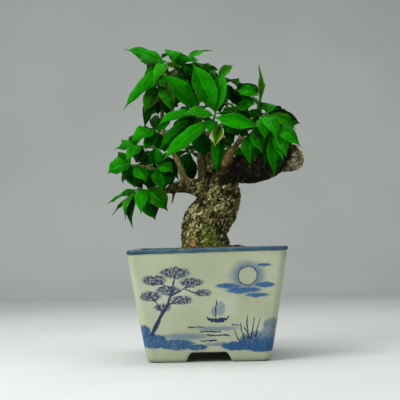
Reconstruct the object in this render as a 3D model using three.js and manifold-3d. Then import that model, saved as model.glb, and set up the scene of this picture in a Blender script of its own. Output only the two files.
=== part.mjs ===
// A burning bush bonsai in its square glazed pot. Millimetres, +Z up, the front of the pot faces -Y.
import * as THREE from "three";
import { mergeVertices } from "three/addons/utils/BufferGeometryUtils.js";
import Module from "manifold-3d";

const wasm = await Module();
wasm.setup();

// Driving dimensions
const GAP = 0.3; // between pieces that touch
const POT = {
  rimWidth: 110,
  footWidth: 85,
  height: 78.5,
  wall: 5.5,
  lip: 0.5, // how far the rim stands proud of the wall
  lipHeight: 2.8,
  corner: 6, // radius of the upright corners
  dip: 1.6, // how far the hand-made rim sinks at its left front corner
  floorTop: 12.4,
  base: 6.9, // height of the underside, and of the arches between the feet
  archTop: 26.4,
  archBottom: 32.4,
  archCorner: 2.4, // reach of the round corners of the arches
  archLean: 0.6, // and how far they lean out there
  footWall: 7, // thickness of the angled feet
  drainRadius: 8.5,
  edge: 0.7, // the rim's rounded edge
};
const SCREEN = { side: 26, thickness: 0.9, holes: 3, pitch: 6.6, hole: 4.4 };
const SOIL = {
  edgeHeight: 73.6,
  crownHeight: 79.2,
  crownRadius: 24,
  leftDrop: 1.4, // how much lower the heap lies on the left
  leftFrom: 8,
  leftReach: 16,
  rings: [0.985, 0.9, 0.76, 0.58, 0.4, 0.18], // of the top, as shares of the way out
};
const LEAF = {
  thickness: 0.75,
  fold: 0.28, // how far the two halves rise from the midrib, as a share of the half width
  longStations: [0.2, 0.47, 0.77],
  shortStations: [0.3, 0.7],
  long: 31,
};
const VIEW = { distance: 750, height: 78.5 }; // the plan below is read in perspective from this far in front
const FRONT_FACE = new THREE.Vector3(0, -0.85, 0.53); // the way the leaves of the front turn their faces
const CROWN_AXIS = { x: -2, y: 4 };
const GREEN_STEM = { sides: 4, tipRadius: 0.75, overrun: 1.2 }; // overrun: past the last leaf's root
const POT_CENTRE = { x: 0.4, y: -4.6 }; // where the pot stands when the whole plant is centred on the origin

// Wood, as paths of [across, height, depth, radius] read from the front
const WOOD = {
  trunk: [[-1, 50, 0, 9], [-1.2, 60, 0, 15], [-0.9, 76, 0, 17.7], [-2, 87, 0, 16.7], [-1.3, 94.4, 1, 16.6],
    [2.3, 99.6, 1.5, 16.9], [6.2, 104.7, 2, 16.3], [8.6, 109.8, 2, 15.8], [10, 115, 2, 15.4],
    [9.4, 120, 1, 15], [9.6, 128, 0, 13], [9.2, 132.5, 0, 9]],
  right_branch: [[8, 125, 0, 9], [20, 134, -1, 9.8], [33, 134.8, -3, 10.4], [44, 137, -4, 10.1],
    [53, 141.2, -5, 9], [60.5, 142, -5, 9.8], [65.5, 142.8, -5, 9.7], [69, 143.5, -5, 7.8],
    [71.2, 144, -5, 4]],
  left_branch: [[1, 120, 0, 7.5], [-8, 122.5, -1, 6.3], [-15, 123.3, -3, 5], [-22, 122.4, -5, 4],
    [-27.5, 120.6, -6, 2.6], [-31, 119.4, -7, 1.7]],
  left_riser: [[-13, 122, -4, 3.6], [-16, 129.5, -5, 2.9], [-18.3, 137, -6, 2.2], [-21.3, 144, -7, 2],
    [-25.5, 151, -6, 1.8], [-29, 159, -3, 1.7], [-31, 171, 0, 1.6], [-30, 184, 0, 1.5], [-27, 196, -1, 1.4]],
  middle_riser: [[-1, 126, -3, 4.6], [-2.2, 136, -5, 3.9], [-2.8, 146, -6, 3.1], [0, 156, -8, 2.4],
    [-3, 170, 2, 1.9], [-6, 185, 8, 1.6]],
  right_riser: [[11, 126, -4, 4.8], [13.5, 137, -6, 3.7], [17, 144, -8, 3.4], [19.6, 148.6, -9, 3]],
  right_fork: [[16.5, 143, -8, 2.4], [24, 154, -7, 2.1], [29, 162, -6, 1.8], [33, 170, -4, 1.5]],
  hanging_twig: [[-23.4, 119, -5, 1.3], [-24, 115, -6, 1], [-25.2, 110.5, -6, 0.6]],
  back_riser: [[6, 126, 5, 3.8], [4, 140, 12, 2.8], [0, 156, 18, 2.2], [-4, 172, 22, 1.8], [-8, 188, 24, 1.5]],
  back_left: [[0, 156, 18, 1.9], [-14, 160, 22, 1.6], [-26, 160, 26, 1.3]],
  back_right: [[2, 148, 15, 2], [16, 158, 22, 1.7], [28, 163, 26, 1.4]],
};
const RELIEF_FROM = 84; // height where the bark's relief begins
const TRUNK_STEP = 5;
const BRANCH_STEP = 8;
const RELIEF = 0.055; // depth of the bark's relief, as a share of the radius

// Leafy stems: the twig's path as above, the tip of the green stem, and the leaves' tips as
// [across, height, depth, width, turn in degrees, arch]
const STEMS = [
  ["crown_tip", [[-27, 196, -1, 1.4], [-22, 204.5, -1, 1.3], [-17.5, 209.5, -1, 1.1]], [-13.5, 214.5, -2], [
    [-28.6, 223.9, 2, 11.5, 20, 0.1], [-16.3, 222, -6, 10.5, 0, 0.05], [-29, 212.3, -14, 9, 10, 0.1],
    [7, 222.2, -6, 8.5, -28, 0.14], [-8, 204, -10, 9, 0, 0.15], [-4, 215.5, 10, 8, 0, 0.1],
    [-27, 204, 16, 11, 0, 0.08]]],
  ["crown_left", [[-27, 196, -1, 1.4], [-27.5, 202, -3, 1.2], [-27, 207, -4, 1.1]], [-26, 213.5, -5], [
    [-46.5, 190.5, -20, 11, 0, 0.15], [-59, 180, -14, 10.5, 10, 0.16], [-47, 216, -2, 10, 10, 0.06],
    [-57.8, 224.9, -12, 14.5, 10, 0.05], [-44.5, 201, 6, 10.5, 0, 0.2], [-37, 199, -14, 9, 0, 0.1],
    [-34, 193, 4, 12, 0, 0.08]]],
  ["crown_low", [[-30, 184, 0, 1.4], [-31, 190, -3, 1.2], [-32, 194, -5, 1]], [-34, 198, -8], [
    [-44.1, 177.7, -16, 11, 0, 0.12], [-44, 166.3, -5, 9, 10, 0.1], [-22, 177, -14, 10.5, 0, 0.12],
    [-34, 175, -6, 9, 0, 0.1], [-26, 173.5, 8, 9, 0, 0.1]]],
  ["crown_back", [[-6, 185, 8, 1.5], [-4, 194, 11, 1.3], [-1, 200, 12, 1.1]], [2, 206, 12], [
    [-6, 215, 14, 9, 0, 0.1], [4, 213.5, 18, 9, 0, 0.1], [11, 208.5, 12, 9.5, 0, 0.1],
    [12, 200, 9, 9, 0, 0.1], [-19, 206.5, 18, 12, 0, 0.1]]],
  ["centre", [[0, 156, -8, 2.2], [3, 163, -13, 1.8], [5.5, 168, -18, 1.4]], [8, 176, -24], [
    [3, 161.5, -34, 9, 0, 0.1], [-32, 141.5, -36, 12.5, 5, 0.12], [39.5, 165.3, -30, 10.5, 25, 0.12],
    [-16, 176, -36, 10, 0, 0.1], [14, 207.5, -16, 14, -15, 0.05], [-8, 213.5, -22, 16, 0, 0.06]]],
  ["centre_left", [[0, 156, -8, 1.9], [-3, 165, -9, 1.5], [-5, 171, -10, 1.2]], [-4, 177, -13], [
    [-34, 149, -14, 10.5, 0, 0.12], [-36, 166.5, -22, 10, 10, 0.12], [-24, 176, -8, 10.5, 0, 0.1],
    [-27, 162.5, -17, 10, 0, 0.1], [-31, 206.5, -12, 14, 0, 0.08], [-16, 193, 0, 13, 0, 0.1]]],
  ["crown_right", [[-6, 185, 8, 1.4], [2, 191, 8, 1.2], [9, 195, 7, 1]], [13.5, 199, 5], [
    [21.6, 210.8, 2, 10, -20, 0.12], [3, 209, -2, 8, 0, 0.1], [13, 182, -2, 9.5, 0, 0.1],
    [20, 184.5, 12, 9, 0, 0.1]]],
  ["right_top", [[2, 191, 8, 1.2], [9, 193.5, 12, 1.1], [16.4, 195.3, 13, 1], [20.5, 193.5, 12, 0.9]],
    [26, 192.4, 9], [
      [37, 182, 0, 10, 0, 0.12], [24, 181, 0, 9.5, 0, 0.1], [31.5, 196, 12, 8, 20, 0.06],
      [39.3, 195, 2, 8, 20, 0.06], [41, 188, 12, 9, 20, 0.1], [17.5, 179, 16, 9, 0, 0.1]]],
  ["right_middle", [[-6, 185, 8, 1.3], [5, 186.5, 7, 1.1], [15, 184, 5, 0.9], [20, 182.3, 3, 0.9]],
    [24, 179, 0], [
      [15, 168, -8, 10, 0, 0.1], [37.5, 182.5, -10, 8, 30, 0.12], [33, 171, -8, 10.5, 0, 0.1],
      [22, 162, 2, 10, 0, 0.1]]],
  ["upright", [[33, 170, -4, 1.4], [36.5, 173.5, -3, 1.1]], [39.2, 179, -3], [
    [33, 188, -8, 8, 0, 0.1], [47, 182, 4, 8.5, 0, 0.1], [40.4, 212, -1, 8.5, 62, -0.02]]],
  ["right", [[29, 162, -6, 1.6], [37, 168, -9, 1.3], [42, 171.5, -11, 1.1]], [46, 175, -13], [
    [44, 156.3, -30, 11.5, 0, 0.1], [53, 155, -26, 11, 0, 0.12], [66.5, 163, -6, 10, 10, 0.14],
    [69.8, 167.4, -14, 13, 20, 0.14], [48.3, 182.7, -12, 9, 0, 0.05], [60, 176.5, 6, 10, 20, 0.1]]],
  ["right_front", [[47, 141, -6, 3], [49, 152, -9, 1.7], [51, 159, -12, 1.3]], [52, 166, -15], [
    [42.5, 136, -24, 9.5, -10, 0.1], [50, 127.8, -32, 12, 0, 0.1], [57, 140, -22, 10, 0, 0.1],
    [70.5, 149.8, -14, 10.5, 15, 0.22], [59.5, 142.5, -20, 9, 0, 0.12], [60, 160, 0, 9, 10, 0.12]]],
  ["right_low", [[24, 154, -7, 1.8], [28, 156.5, -10, 1.5], [31, 158, -12, 1.2]], [35.5, 163, -15], [
    [20, 163, -20, 9, 0, 0.1], [32.5, 138.3, -32, 14, 0, 0.08], [42, 146, -24, 10, 0, 0.1],
    [26, 172, -14, 9.5, 0, 0.1]]],
  ["left_middle", [[-29, 159, -3, 1.5], [-33, 161, -6, 1.2]], [-37, 164.2, -9], [
    [-29, 148, -20, 10.5, 0, 0.1], [-44, 150, -16, 9, 0, 0.1], [-53.5, 156.3, -14, 13, 10, 0.11],
    [-36, 176, 10, 8, 0, 0.1], [-24, 172, 0, 9, 0, 0.1]]],
  ["left", [[-25.5, 151, -6, 1.6], [-35, 152, -8, 1.3], [-43, 152.5, -7, 1.1]], [-50, 153.5, -7], [
    [-51, 141, -12, 9.5, 0, 0.1], [-58, 142, -14, 9, 0, 0.12], [-66, 151.2, -10, 9.5, 10, 0.1],
    [-61.5, 158.2, -4, 9, 10, 0.06], [-52, 162, 4, 9, 0, 0.1]]],
  ["left_low", [[-29, 129, -8, 1.6], [-36, 135.5, -8, 1.3], [-43, 138, -9, 1.2], [-49, 139, -10, 1.1]],
    [-55, 139.5, -10], [
      [-43, 127, -22, 10.5, 0, 0.1], [-52, 122.5, -22, 13, 0, 0.1], [-60.5, 126, 2, 10, 0, 0.12],
      [-71.5, 133.6, -14, 15, 10, 0.16], [-64, 149.5, -10, 9, 0, 0.05], [-46.5, 121.5, -6, 11, 0, 0.08]]],
  ["left_inner", [[-22, 122.4, -5, 2.2], [-29, 129, -8, 1.6], [-31.5, 133, -11, 1.2]], [-35.5, 140, -15], [
    [-24.5, 124, -4, 12.5, 0, 0.1], [-30.5, 120, -22, 15, 0, 0.1], [-41, 122.5, -14, 12, 0, 0.1],
    [-23.5, 133.5, -16, 10.5, 0, 0.1], [-50, 147, -6, 9.5, 0, 0.1], [-37, 153, -12, 10, 0, 0.08]]],
  ["low_spray", [[-31, 119.4, -7, 1.5], [-38, 119.3, -8, 1.3], [-43, 120.4, -9, 1.1]], [-49, 122, -10], [
    [-28, 105, -16, 15.5, 0, 0.16], [-37.2, 98.6, -20, 13.5, 0, 0.08], [-47.6, 102.8, -24, 9.5, 0, 0.12],
    [-53.8, 92.8, -18, 8, 45, 0.1], [-58.9, 99, -16, 8, 45, 0.12], [-68.8, 102.9, -18, 7.5, 35, 0.1],
    [-72.05, 111.4, -14, 9, 28, 0.1]]],
  ["inner", [[-3, 146, -6, 2], [-5, 155, -9, 1.4], [-5.5, 160, -11, 1.2]], [-5, 166, -14], [
    [0.5, 143.6, -24, 14, 0, 0.08], [-18, 152, -14, 10, 0, 0.1], [-17, 161, -4, 9, 0, 0.1]]],
  ["hanging", [[3, 163, -12, 1.4], [6, 165, -15, 1.2], [9, 166.6, -17, 1]], [13.5, 168.5, -20], [
    [8.2, 130.6, -28, 9.5, 0, 0.06], [7, 151.5, -26, 8.5, 0, 0.14], [21.5, 153.5, -24, 9, 0, 0.1],
    [25, 158.5, -6, 8, 0, 0.1]]],
  ["crown_middle", [[-27, 196, -1, 1.4], [-21, 199, 2, 1.2], [-16, 200, 4, 1.1]], [-11, 202, 5], [
    [-20, 183, 4, 11, 0, 0.1], [-10, 186, -2, 10, 0, 0.1], [-23, 212, 2, 9, 0, 0.1],
    [0, 199, 3, 9, 10, 0.1], [-5, 212, 2, 9, 0, 0.1], [-12, 180, 12, 10, 0, 0.1]]],
  ["left_behind", [[-29, 129, -8, 1.5], [-33, 133, 0, 1.2], [-36, 136, 6, 1.1]], [-40, 139, 9], [
    [-29, 125, 10, 12, 0, 0.1], [-42, 120.5, 6, 13, 0, 0.1], [-31, 147, 6, 10, 0, 0.1],
    [-56, 131, 8, 11, 0, 0.1], [-48, 147, 10, 10, 0, 0.1], [-21.5, 129, 12, 12, 0, 0.08]]],
  ["right_behind", [[47, 141, -6, 2.4], [45, 150, 2, 1.5], [46, 156, 6, 1.2]], [49, 160, 9], [
    [38, 147, 2, 10, 0, 0.1], [52, 147, 0, 11, 0, 0.1], [57.5, 151, 8, 10, 0, 0.1],
    [40, 167, 8, 9, 0, 0.1], [59, 167, 12, 9, 0, 0.1]]],
  ["back_crown", [[-8, 188, 24, 1.5], [-12, 195, 25, 1.2]], [-14, 201, 26], [
    [-27, 208, 20, 13, 0, 0.1], [-8, 214, 24, 12, 0, 0.1]]],
  ["back_crown_left", [[-30, 184, 0, 1.4], [-29, 187, 10, 1.2], [-28, 190, 16, 1.1]], [-29, 194, 21], [
    [-38, 176, 12, 13, 0, 0.1], [-19, 181, 14, 12, 0, 0.1], [-37, 206, 16, 12, 0, 0.1]]],
  ["back_crown_right", [[-8, 188, 24, 1.4], [0, 192, 27, 1.2], [5, 193, 29, 1.1]], [9, 196, 31], [
    [12, 176, 24, 13, 0, 0.1], [20, 184, 26, 11, 0, 0.1]]],
  ["back_centre", [[-4, 172, 22, 1.6], [-6, 175, 28, 1.3], [-6, 176, 33, 1.1]], [-5, 178, 38], []],
  ["back_left", [[-26, 160, 26, 1.3], [-31, 161, 28, 1.1]], [-36, 163, 30], []],
  ["back_right", [[28, 163, 26, 1.4], [33, 165, 27, 1.1]], [38, 168, 28], []],
  ["back_low", [[0, 150, 17, 1.6], [-6, 150, 26, 1.3], [-9, 149, 29, 1.1]], [-13, 147, 32], [
    [-17, 125, 26, 12, 0, 0.08], [-9.5, 125.5, 29, 10.5, 0, 0.08]]],
  ["back_low_right", [[9, 153, 18, 1.6], [14, 152, 28, 1.3], [17, 151, 33, 1.1]], [21, 152, 38], []],
  ["back_low_left", [[-14, 160, 22, 1.4], [-22, 152, 22, 1.2], [-29, 147, 22, 1.1]], [-36, 144, 22], [
    [-31, 127, 24, 11, 0, 0.1], [-19, 127, 20, 13, 0, 0.1]]],
  ["back_right_low", [[38, 141, 2, 2.4], [42, 150, 12, 1.6], [46, 154, 17, 1.2]], [50, 157, 21], []],
];
const SPARE_LEAVES = { front: 2, back: 6 }; // further leaves behind each stem, set out by a rule
const GOLDEN_ANGLE = 2.39996;

// Solids
function solidOf(geometry) {
  const bare = geometry.clone();
  bare.deleteAttribute("normal");
  bare.deleteAttribute("uv");
  const merged = mergeVertices(bare, 1e-4);
  return new wasm.Manifold(new wasm.Mesh({
    numProp: 3,
    vertProperties: merged.attributes.position.array,
    triVerts: new Uint32Array(merged.index.array),
  }));
}

function geometryOf(solid) {
  const mesh = solid.getMesh();
  return new THREE.BufferGeometry()
    .setAttribute("position", new THREE.BufferAttribute(mesh.vertProperties, 3))
    .setIndex(new THREE.BufferAttribute(mesh.triVerts, 1));
}

// The body itself, with any hollow that the joins sealed inside it filled.
function largest(solid) {
  return solid.decompose().sort((a, b) => b.volume() - a.volume())[0];
}

// A closed skin over rings of equal count, each ring running anticlockwise seen against the loft's way.
function loft(rings) {
  const count = rings[0].length;
  const points = rings.flat();
  const faces = [];
  for (let r = 0; r + 1 < rings.length; r++)
    for (let i = 0; i < count; i++) {
      const a = r * count + i;
      const b = r * count + ((i + 1) % count);
      faces.push(a, b, b + count, a, b + count, a + count);
    }
  const cap = (ring, turned) => {
    const centre = new THREE.Vector3();
    for (const p of rings[ring]) centre.addScaledVector(p, 1 / count);
    points.push(centre);
    for (let i = 0; i < count; i++) {
      const a = ring * count + i;
      const b = ring * count + ((i + 1) % count);
      faces.push(...(turned ? [b, a, points.length - 1] : [a, b, points.length - 1]));
    }
  };
  cap(0, true);
  cap(rings.length - 1, false);
  return new THREE.BufferGeometry().setFromPoints(points).setIndex(faces);
}

// The outline of a square with round corners, at one height.
function squareRing(width, corner, height, perCorner = 3) {
  const inner = width / 2 - corner;
  const ring = [];
  for (let quarter = 0; quarter < 4; quarter++)
    for (let i = 0; i <= perCorner; i++) {
      const angle = (quarter + i / perCorner) * (Math.PI / 2);
      const cx = quarter === 0 || quarter === 3 ? inner : -inner;
      const cy = quarter < 2 ? inner : -inner;
      ring.push(new THREE.Vector3(cx + corner * Math.cos(angle), cy + corner * Math.sin(angle), height));
    }
  return ring;
}

// Pot
function outerWidth(z) {
  const share = z / POT.height;
  return POT.footWidth + (POT.rimWidth - POT.footWidth) * (share + 0.1 * share * (1 - share));
}

// The rim's sag towards its left front corner, which fades out down the wall.
function dipped(point) {
  const left = 0.5 - point.x / POT.rimWidth;
  const front = 0.5 - point.y / POT.rimWidth;
  const high = Math.max(0, point.z / POT.height - 0.6) / 0.4;
  point.z -= POT.dip * (left * front) ** 1.5 * high;
  return point;
}

function makePot() {
  const { height, wall, lip, lipHeight, corner, floorTop, base, edge } = POT;
  const lipFoot = height - lipHeight;
  const outside = [
    [0, outerWidth(0) - 5],
    [0.9, outerWidth(0.9) - 1.6],
    [3, outerWidth(3)],
    [height * 0.4, outerWidth(height * 0.4)],
    [height * 0.75, outerWidth(height * 0.75)],
    [lipFoot, outerWidth(lipFoot) - 2 * lip],
    [lipFoot + lip, POT.rimWidth],
    [height - edge, POT.rimWidth],
    [height, POT.rimWidth - 2 * edge],
  ].map(([z, width]) => squareRing(width, corner, z).map(dipped));
  const mouth = [
    [floorTop, outerWidth(floorTop) - 2 * wall],
    [height - edge, POT.rimWidth - 2 * wall],
    [height + edge, POT.rimWidth - 2 * wall + 4 * edge],
  ].map(([z, width]) => squareRing(width, corner - 2, z).map(dipped));
  const hollowBelow = [-1, base].map((z) => squareRing(outerWidth(0) - 2 * POT.footWall, corner - 2, z));
  const reach = POT.rimWidth;
  const archFoot = POT.archBottom / 2;
  const archTop = POT.archTop / 2;
  const { archCorner, archLean } = POT;
  const arch = new THREE.Shape()
    .moveTo(-archFoot, -1)
    .lineTo(archFoot, -1)
    .lineTo(archTop + archLean, base - archCorner)
    .quadraticCurveTo(archTop, base, archTop - archCorner, base)
    .lineTo(archCorner - archTop, base)
    .quadraticCurveTo(-archTop, base, -archTop - archLean, base - archCorner);
  const bar = new THREE.ExtrudeGeometry(arch, { depth: reach, bevelEnabled: false, curveSegments: 3 })
    .translate(0, 0, -reach / 2)
    .rotateX(Math.PI / 2);
  const drain = new THREE.CylinderGeometry(POT.drainRadius, POT.drainRadius, floorTop + 2, 24)
    .rotateX(Math.PI / 2)
    .translate(0, 0, floorTop / 2);
  return solidOf(loft(outside))
    .subtract(solidOf(loft(mouth)))
    .subtract(solidOf(loft(hollowBelow)))
    .subtract(solidOf(bar))
    .subtract(solidOf(bar.clone().rotateZ(Math.PI / 2)))
    .subtract(solidOf(drain));
}

function makeScreen() {
  const { side, thickness, holes, pitch, hole } = SCREEN;
  const height = POT.floorTop + GAP + thickness / 2;
  let screen = solidOf(new THREE.BoxGeometry(side, side, thickness).translate(0, 0, height));
  for (let i = 0; i < holes; i++)
    for (let j = 0; j < holes; j++)
      screen = screen.subtract(solidOf(new THREE.BoxGeometry(hole, hole, 2 * thickness)
        .translate((i - (holes - 1) / 2) * pitch, (j - (holes - 1) / 2) * pitch, height)));
  return screen;
}

// Soil, heaped towards the trunk
function soilHeight(x, y) {
  const away = Math.max(0, Math.hypot(x, y) - SOIL.crownRadius) / (POT.rimWidth / 2 - SOIL.crownRadius);
  const left = Math.min(1, Math.max(0, (-x - SOIL.leftFrom) / SOIL.leftReach)) * (1 - Math.min(1, away));
  const heap = SOIL.crownHeight - (SOIL.crownHeight - SOIL.edgeHeight) * Math.min(1, away) ** 0.8
    - SOIL.leftDrop * left;
  return heap + 0.35 * Math.sin(0.31 * x + 1.1) * Math.cos(0.27 * y) + 0.2 * Math.sin(0.73 * x - 0.61 * y);
}

function makeSoil() {
  const bottom = POT.floorTop + GAP;
  const side = (z) => {
    const share = (z - POT.floorTop) / (POT.height - POT.edge - POT.floorTop);
    const foot = outerWidth(POT.floorTop) - 2 * POT.wall;
    return foot + (POT.rimWidth - 2 * POT.wall - foot) * share - 2 * GAP;
  };
  const corner = POT.corner - 2;
  const top = SOIL.edgeHeight - 1.5;
  const rings = [squareRing(side(bottom), corner, bottom, 4), squareRing(side(top), corner, top, 4)];
  const rim = rings[1];
  for (const share of SOIL.rings)
    rings.push(rim.map((p) => {
      const x = p.x * share;
      const y = p.y * share;
      const round = Math.min(1, (1 - share) * 1.6) * (1 - POT.rimWidth * 0.45 / Math.hypot(p.x, p.y));
      return new THREE.Vector3(x * (1 - round), y * (1 - round), soilHeight(x * (1 - round), y * (1 - round)));
    }));
  const recess = SCREEN.side / 2 + GAP;
  const over = new THREE.BoxGeometry(2 * recess, 2 * recess, 2 * (SCREEN.thickness + 2 * GAP))
    .translate(0, 0, POT.floorTop);
  const hole = tube(WOOD.trunk.map(([x, z, depth, r]) => [x, z, depth, r + GAP]), TRUNK_STEP, false);
  const under = hole.translate([0, 0, -GAP]);
  return solidOf(loft(rings)).subtract(solidOf(over)).subtract(hole).subtract(under);
}

// Wood
function seen(x, z, depth) {
  const spread = (VIEW.distance + depth) / VIEW.distance;
  return new THREE.Vector3(x * spread, depth, VIEW.height + (z - VIEW.height) * spread);
}

// Points [x, y, z, radius] along a smooth path through the plan's points.
function smoothPath(path, step) {
  const knots = path.map(([x, z, depth, radius]) => [...seen(x, z, depth).toArray(), radius]);
  const at = (i) => knots[Math.min(Math.max(i, 0), knots.length - 1)];
  const points = [];
  for (let i = 0; i + 1 < knots.length; i++) {
    const long = Math.hypot(...[0, 1, 2].map((k) => at(i + 1)[k] - at(i)[k]));
    const steps = Math.max(1, Math.round(long / step));
    for (let j = 0; j < steps; j++) {
      const t = j / steps;
      points.push([0, 1, 2, 3].map((k) => {
        const [a, b, c, d] = [at(i - 1)[k], at(i)[k], at(i + 1)[k], at(i + 2)[k]];
        return b + 0.5 * t * (c - a + t * (2 * a - 5 * b + 4 * c - d + t * (3 * (b - c) + d - a)));
      }));
    }
  }
  points.push(knots[knots.length - 1]);
  return points;
}

function tube(path, step, rough = true) {
  const points = smoothPath(path, step);
  const widest = Math.max(...points.map((p) => p[3]));
  const sides = widest > 12 ? 14 : widest > 7 ? 10 : widest > 3 ? 7 : widest > 1.8 ? 5 : 4;
  const centres = points.map((p) => new THREE.Vector3(p[0], p[1], p[2]));
  let across = new THREE.Vector3(0.3, 1, 0.1);
  const rings = points.map((p, n) => {
    const way = centres[Math.min(n + 1, points.length - 1)].clone().sub(centres[Math.max(n - 1, 0)]).normalize();
    across = across.clone().addScaledVector(way, -across.dot(way)).normalize();
    const other = way.clone().cross(across);
    const bark = rough && p[2] > RELIEF_FROM && n + 1 < points.length ? RELIEF : 0;
    return Array.from({ length: sides }, (_, i) => {
      const angle = (2 * Math.PI * i) / sides;
      const ripple = Math.sin(5 * angle + 0.23 * p[2]) + Math.sin(3 * angle - 0.37 * p[2] + 0.11 * p[0] + 2);
      const radius = p[3] * (1 + 0.5 * bark * ripple);
      return centres[n].clone()
        .addScaledVector(across, radius * Math.cos(angle))
        .addScaledVector(other, radius * Math.sin(angle));
    });
  });
  return solidOf(loft(rings));
}

function makeTrunk() {
  let wood = tube(WOOD.trunk, TRUNK_STEP);
  for (const [name, path] of Object.entries(WOOD))
    if (name !== "trunk") wood = wood.add(tube(path, name === "right_branch" ? TRUNK_STEP : BRANCH_STEP));
  for (const [, twig] of STEMS) wood = wood.add(tube(twig, BRANCH_STEP));
  return largest(wood);
}

// Leaves
function halfWidth(u) {
  return Math.sin(Math.PI * u) ** 0.95 * (1.03 - 0.1 * u * u);
}

// A blade from its root to its tip: the midrib's arch, the face's side and the way up at a share u.
function bladeOf({ root, tip, width, turn, arch, face }) {
  const along = tip.clone().sub(root);
  const length = along.length();
  const way = along.clone().divideScalar(length);
  const up = face.clone().addScaledVector(way, -face.dot(way)).normalize();
  const across = way.clone().cross(up);
  const angle = THREE.MathUtils.degToRad(turn);
  const lift = up.clone().multiplyScalar(Math.cos(angle)).addScaledVector(across, Math.sin(angle));
  const side = across.clone().multiplyScalar(Math.cos(angle)).addScaledVector(up, -Math.sin(angle));
  const middle = root.clone().add(tip).multiplyScalar(0.5).addScaledVector(lift, 2 * arch * length);
  return (u, v) => {
    const centre = root.clone().multiplyScalar((1 - u) ** 2)
      .addScaledVector(middle, 2 * u * (1 - u))
      .addScaledVector(tip, u * u);
    const tangent = middle.clone().sub(root).multiplyScalar(1 - u)
      .addScaledVector(tip.clone().sub(middle), u)
      .normalize();
    const normal = side.clone().cross(tangent);
    const half = (width / 2) * halfWidth(u);
    centre.addScaledVector(side, half * v).addScaledVector(normal, half * Math.abs(v) * LEAF.fold);
    return { point: centre, normal };
  };
}

function bladeSolid(leaf) {
  const at = bladeOf(leaf);
  const stations = leaf.tip.distanceTo(leaf.root) > LEAF.long ? LEAF.longStations : LEAF.shortStations;
  const points = [];
  const add = (u, v) => {
    const { point, normal } = at(u, v);
    points.push(point.clone().addScaledVector(normal, LEAF.thickness / 2));
    points.push(point.clone().addScaledVector(normal, -LEAF.thickness / 2));
  };
  add(0, 0);
  for (const u of stations) for (const v of [-1, 0, 1]) add(u, v);
  add(1, 0);
  const faces = [];
  const quad = (a, b, c, d) => faces.push(a, b, c, a, c, d);
  // the wedges at the root and at the tip
  quad(1, 0, 2, 3);
  quad(0, 1, 7, 6);
  faces.push(0, 4, 2, 0, 6, 4, 1, 3, 5, 1, 5, 7);
  const last = 6 * stations.length - 4;
  const tip = last + 6;
  faces.push(last, last + 2, tip, last + 2, last + 4, tip);
  faces.push(last + 1, tip + 1, last + 3, last + 3, tip + 1, last + 5);
  quad(last + 1, last, tip, tip + 1);
  quad(last + 4, last + 5, tip + 1, tip);
  // between two stations, with both halves split alike above and below
  for (let s = 2; s < last; s += 6) {
    const n = s + 6;
    quad(s, s + 2, n + 2, n);
    quad(s + 4, n + 4, n + 2, s + 2);
    faces.push(s + 1, n + 3, s + 3, s + 1, n + 1, n + 3);
    faces.push(s + 5, s + 3, n + 3, s + 5, n + 3, n + 5);
    quad(s + 1, s, n, n + 1);
    quad(s + 4, s + 5, n + 5, n + 4);
  }
  return solidOf(new THREE.BufferGeometry().setFromPoints(points).setIndex(faces));
}

// Keeps the leaves clear: each is swung nearer or farther until nothing placed before it is in the way.
const SWINGS = [0, -3, 3, -6, 6, -9, 9, -12, 12, -15, 15, -18, 18];
const ARCHES = [0, 0.07, -0.07];
const CLEAR_OF_LEAF = 2.3;
const CLEAR_OF_OWN_LEAF = 1.5;
const CLEAR_OF_WOOD = 1.3;
const ROOT_ROOM = 3.2; // a leaf may be this near to its own twig around its root
const ROOT_SHARE = 0.2; // leaves of one stem may meet over this share of their length
const SAMPLES = { along: 15, across: [-1, -0.5, 0, 0.5, 1] };

function samplesOf(leaf) {
  const at = bladeOf(leaf);
  const points = [];
  for (let i = 1; i <= SAMPLES.along; i++)
    for (const v of SAMPLES.across) {
      const { point } = at(i / SAMPLES.along, v);
      points.push([point.x, point.y, point.z, i / SAMPLES.along]);
    }
  return points;
}

// The smallest room that a leaf has, less than zero where it is too close to something.
function roomOf(leaf, points, placed, wood) {
  let room = Infinity;
  const low = [0, 1, 2].map((k) => Math.min(...points.map((p) => p[k])) - CLEAR_OF_LEAF);
  const high = [0, 1, 2].map((k) => Math.max(...points.map((p) => p[k])) + CLEAR_OF_LEAF);
  for (const other of placed) {
    const own = other.stem === leaf.stem;
    const need = own ? CLEAR_OF_OWN_LEAF : CLEAR_OF_LEAF;
    for (const q of other.points) {
      if ([0, 1, 2].some((k) => q[k] < low[k] || q[k] > high[k])) continue;
      if (own && q[3] < ROOT_SHARE) continue;
      for (const p of points) {
        if (own && p[3] < ROOT_SHARE) continue;
        room = Math.min(room, Math.hypot(p[0] - q[0], p[1] - q[1], p[2] - q[2]) - need);
      }
    }
  }
  for (const q of wood) {
    if (q[4] === leaf.stem && Math.hypot(q[0] - leaf.root.x, q[1] - leaf.root.y, q[2] - leaf.root.z) < ROOT_ROOM) continue;
    for (const p of points)
      room = Math.min(room, Math.hypot(p[0] - q[0], p[1] - q[1], p[2] - q[2]) - q[3] - CLEAR_OF_WOOD);
  }
  return room;
}

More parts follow.
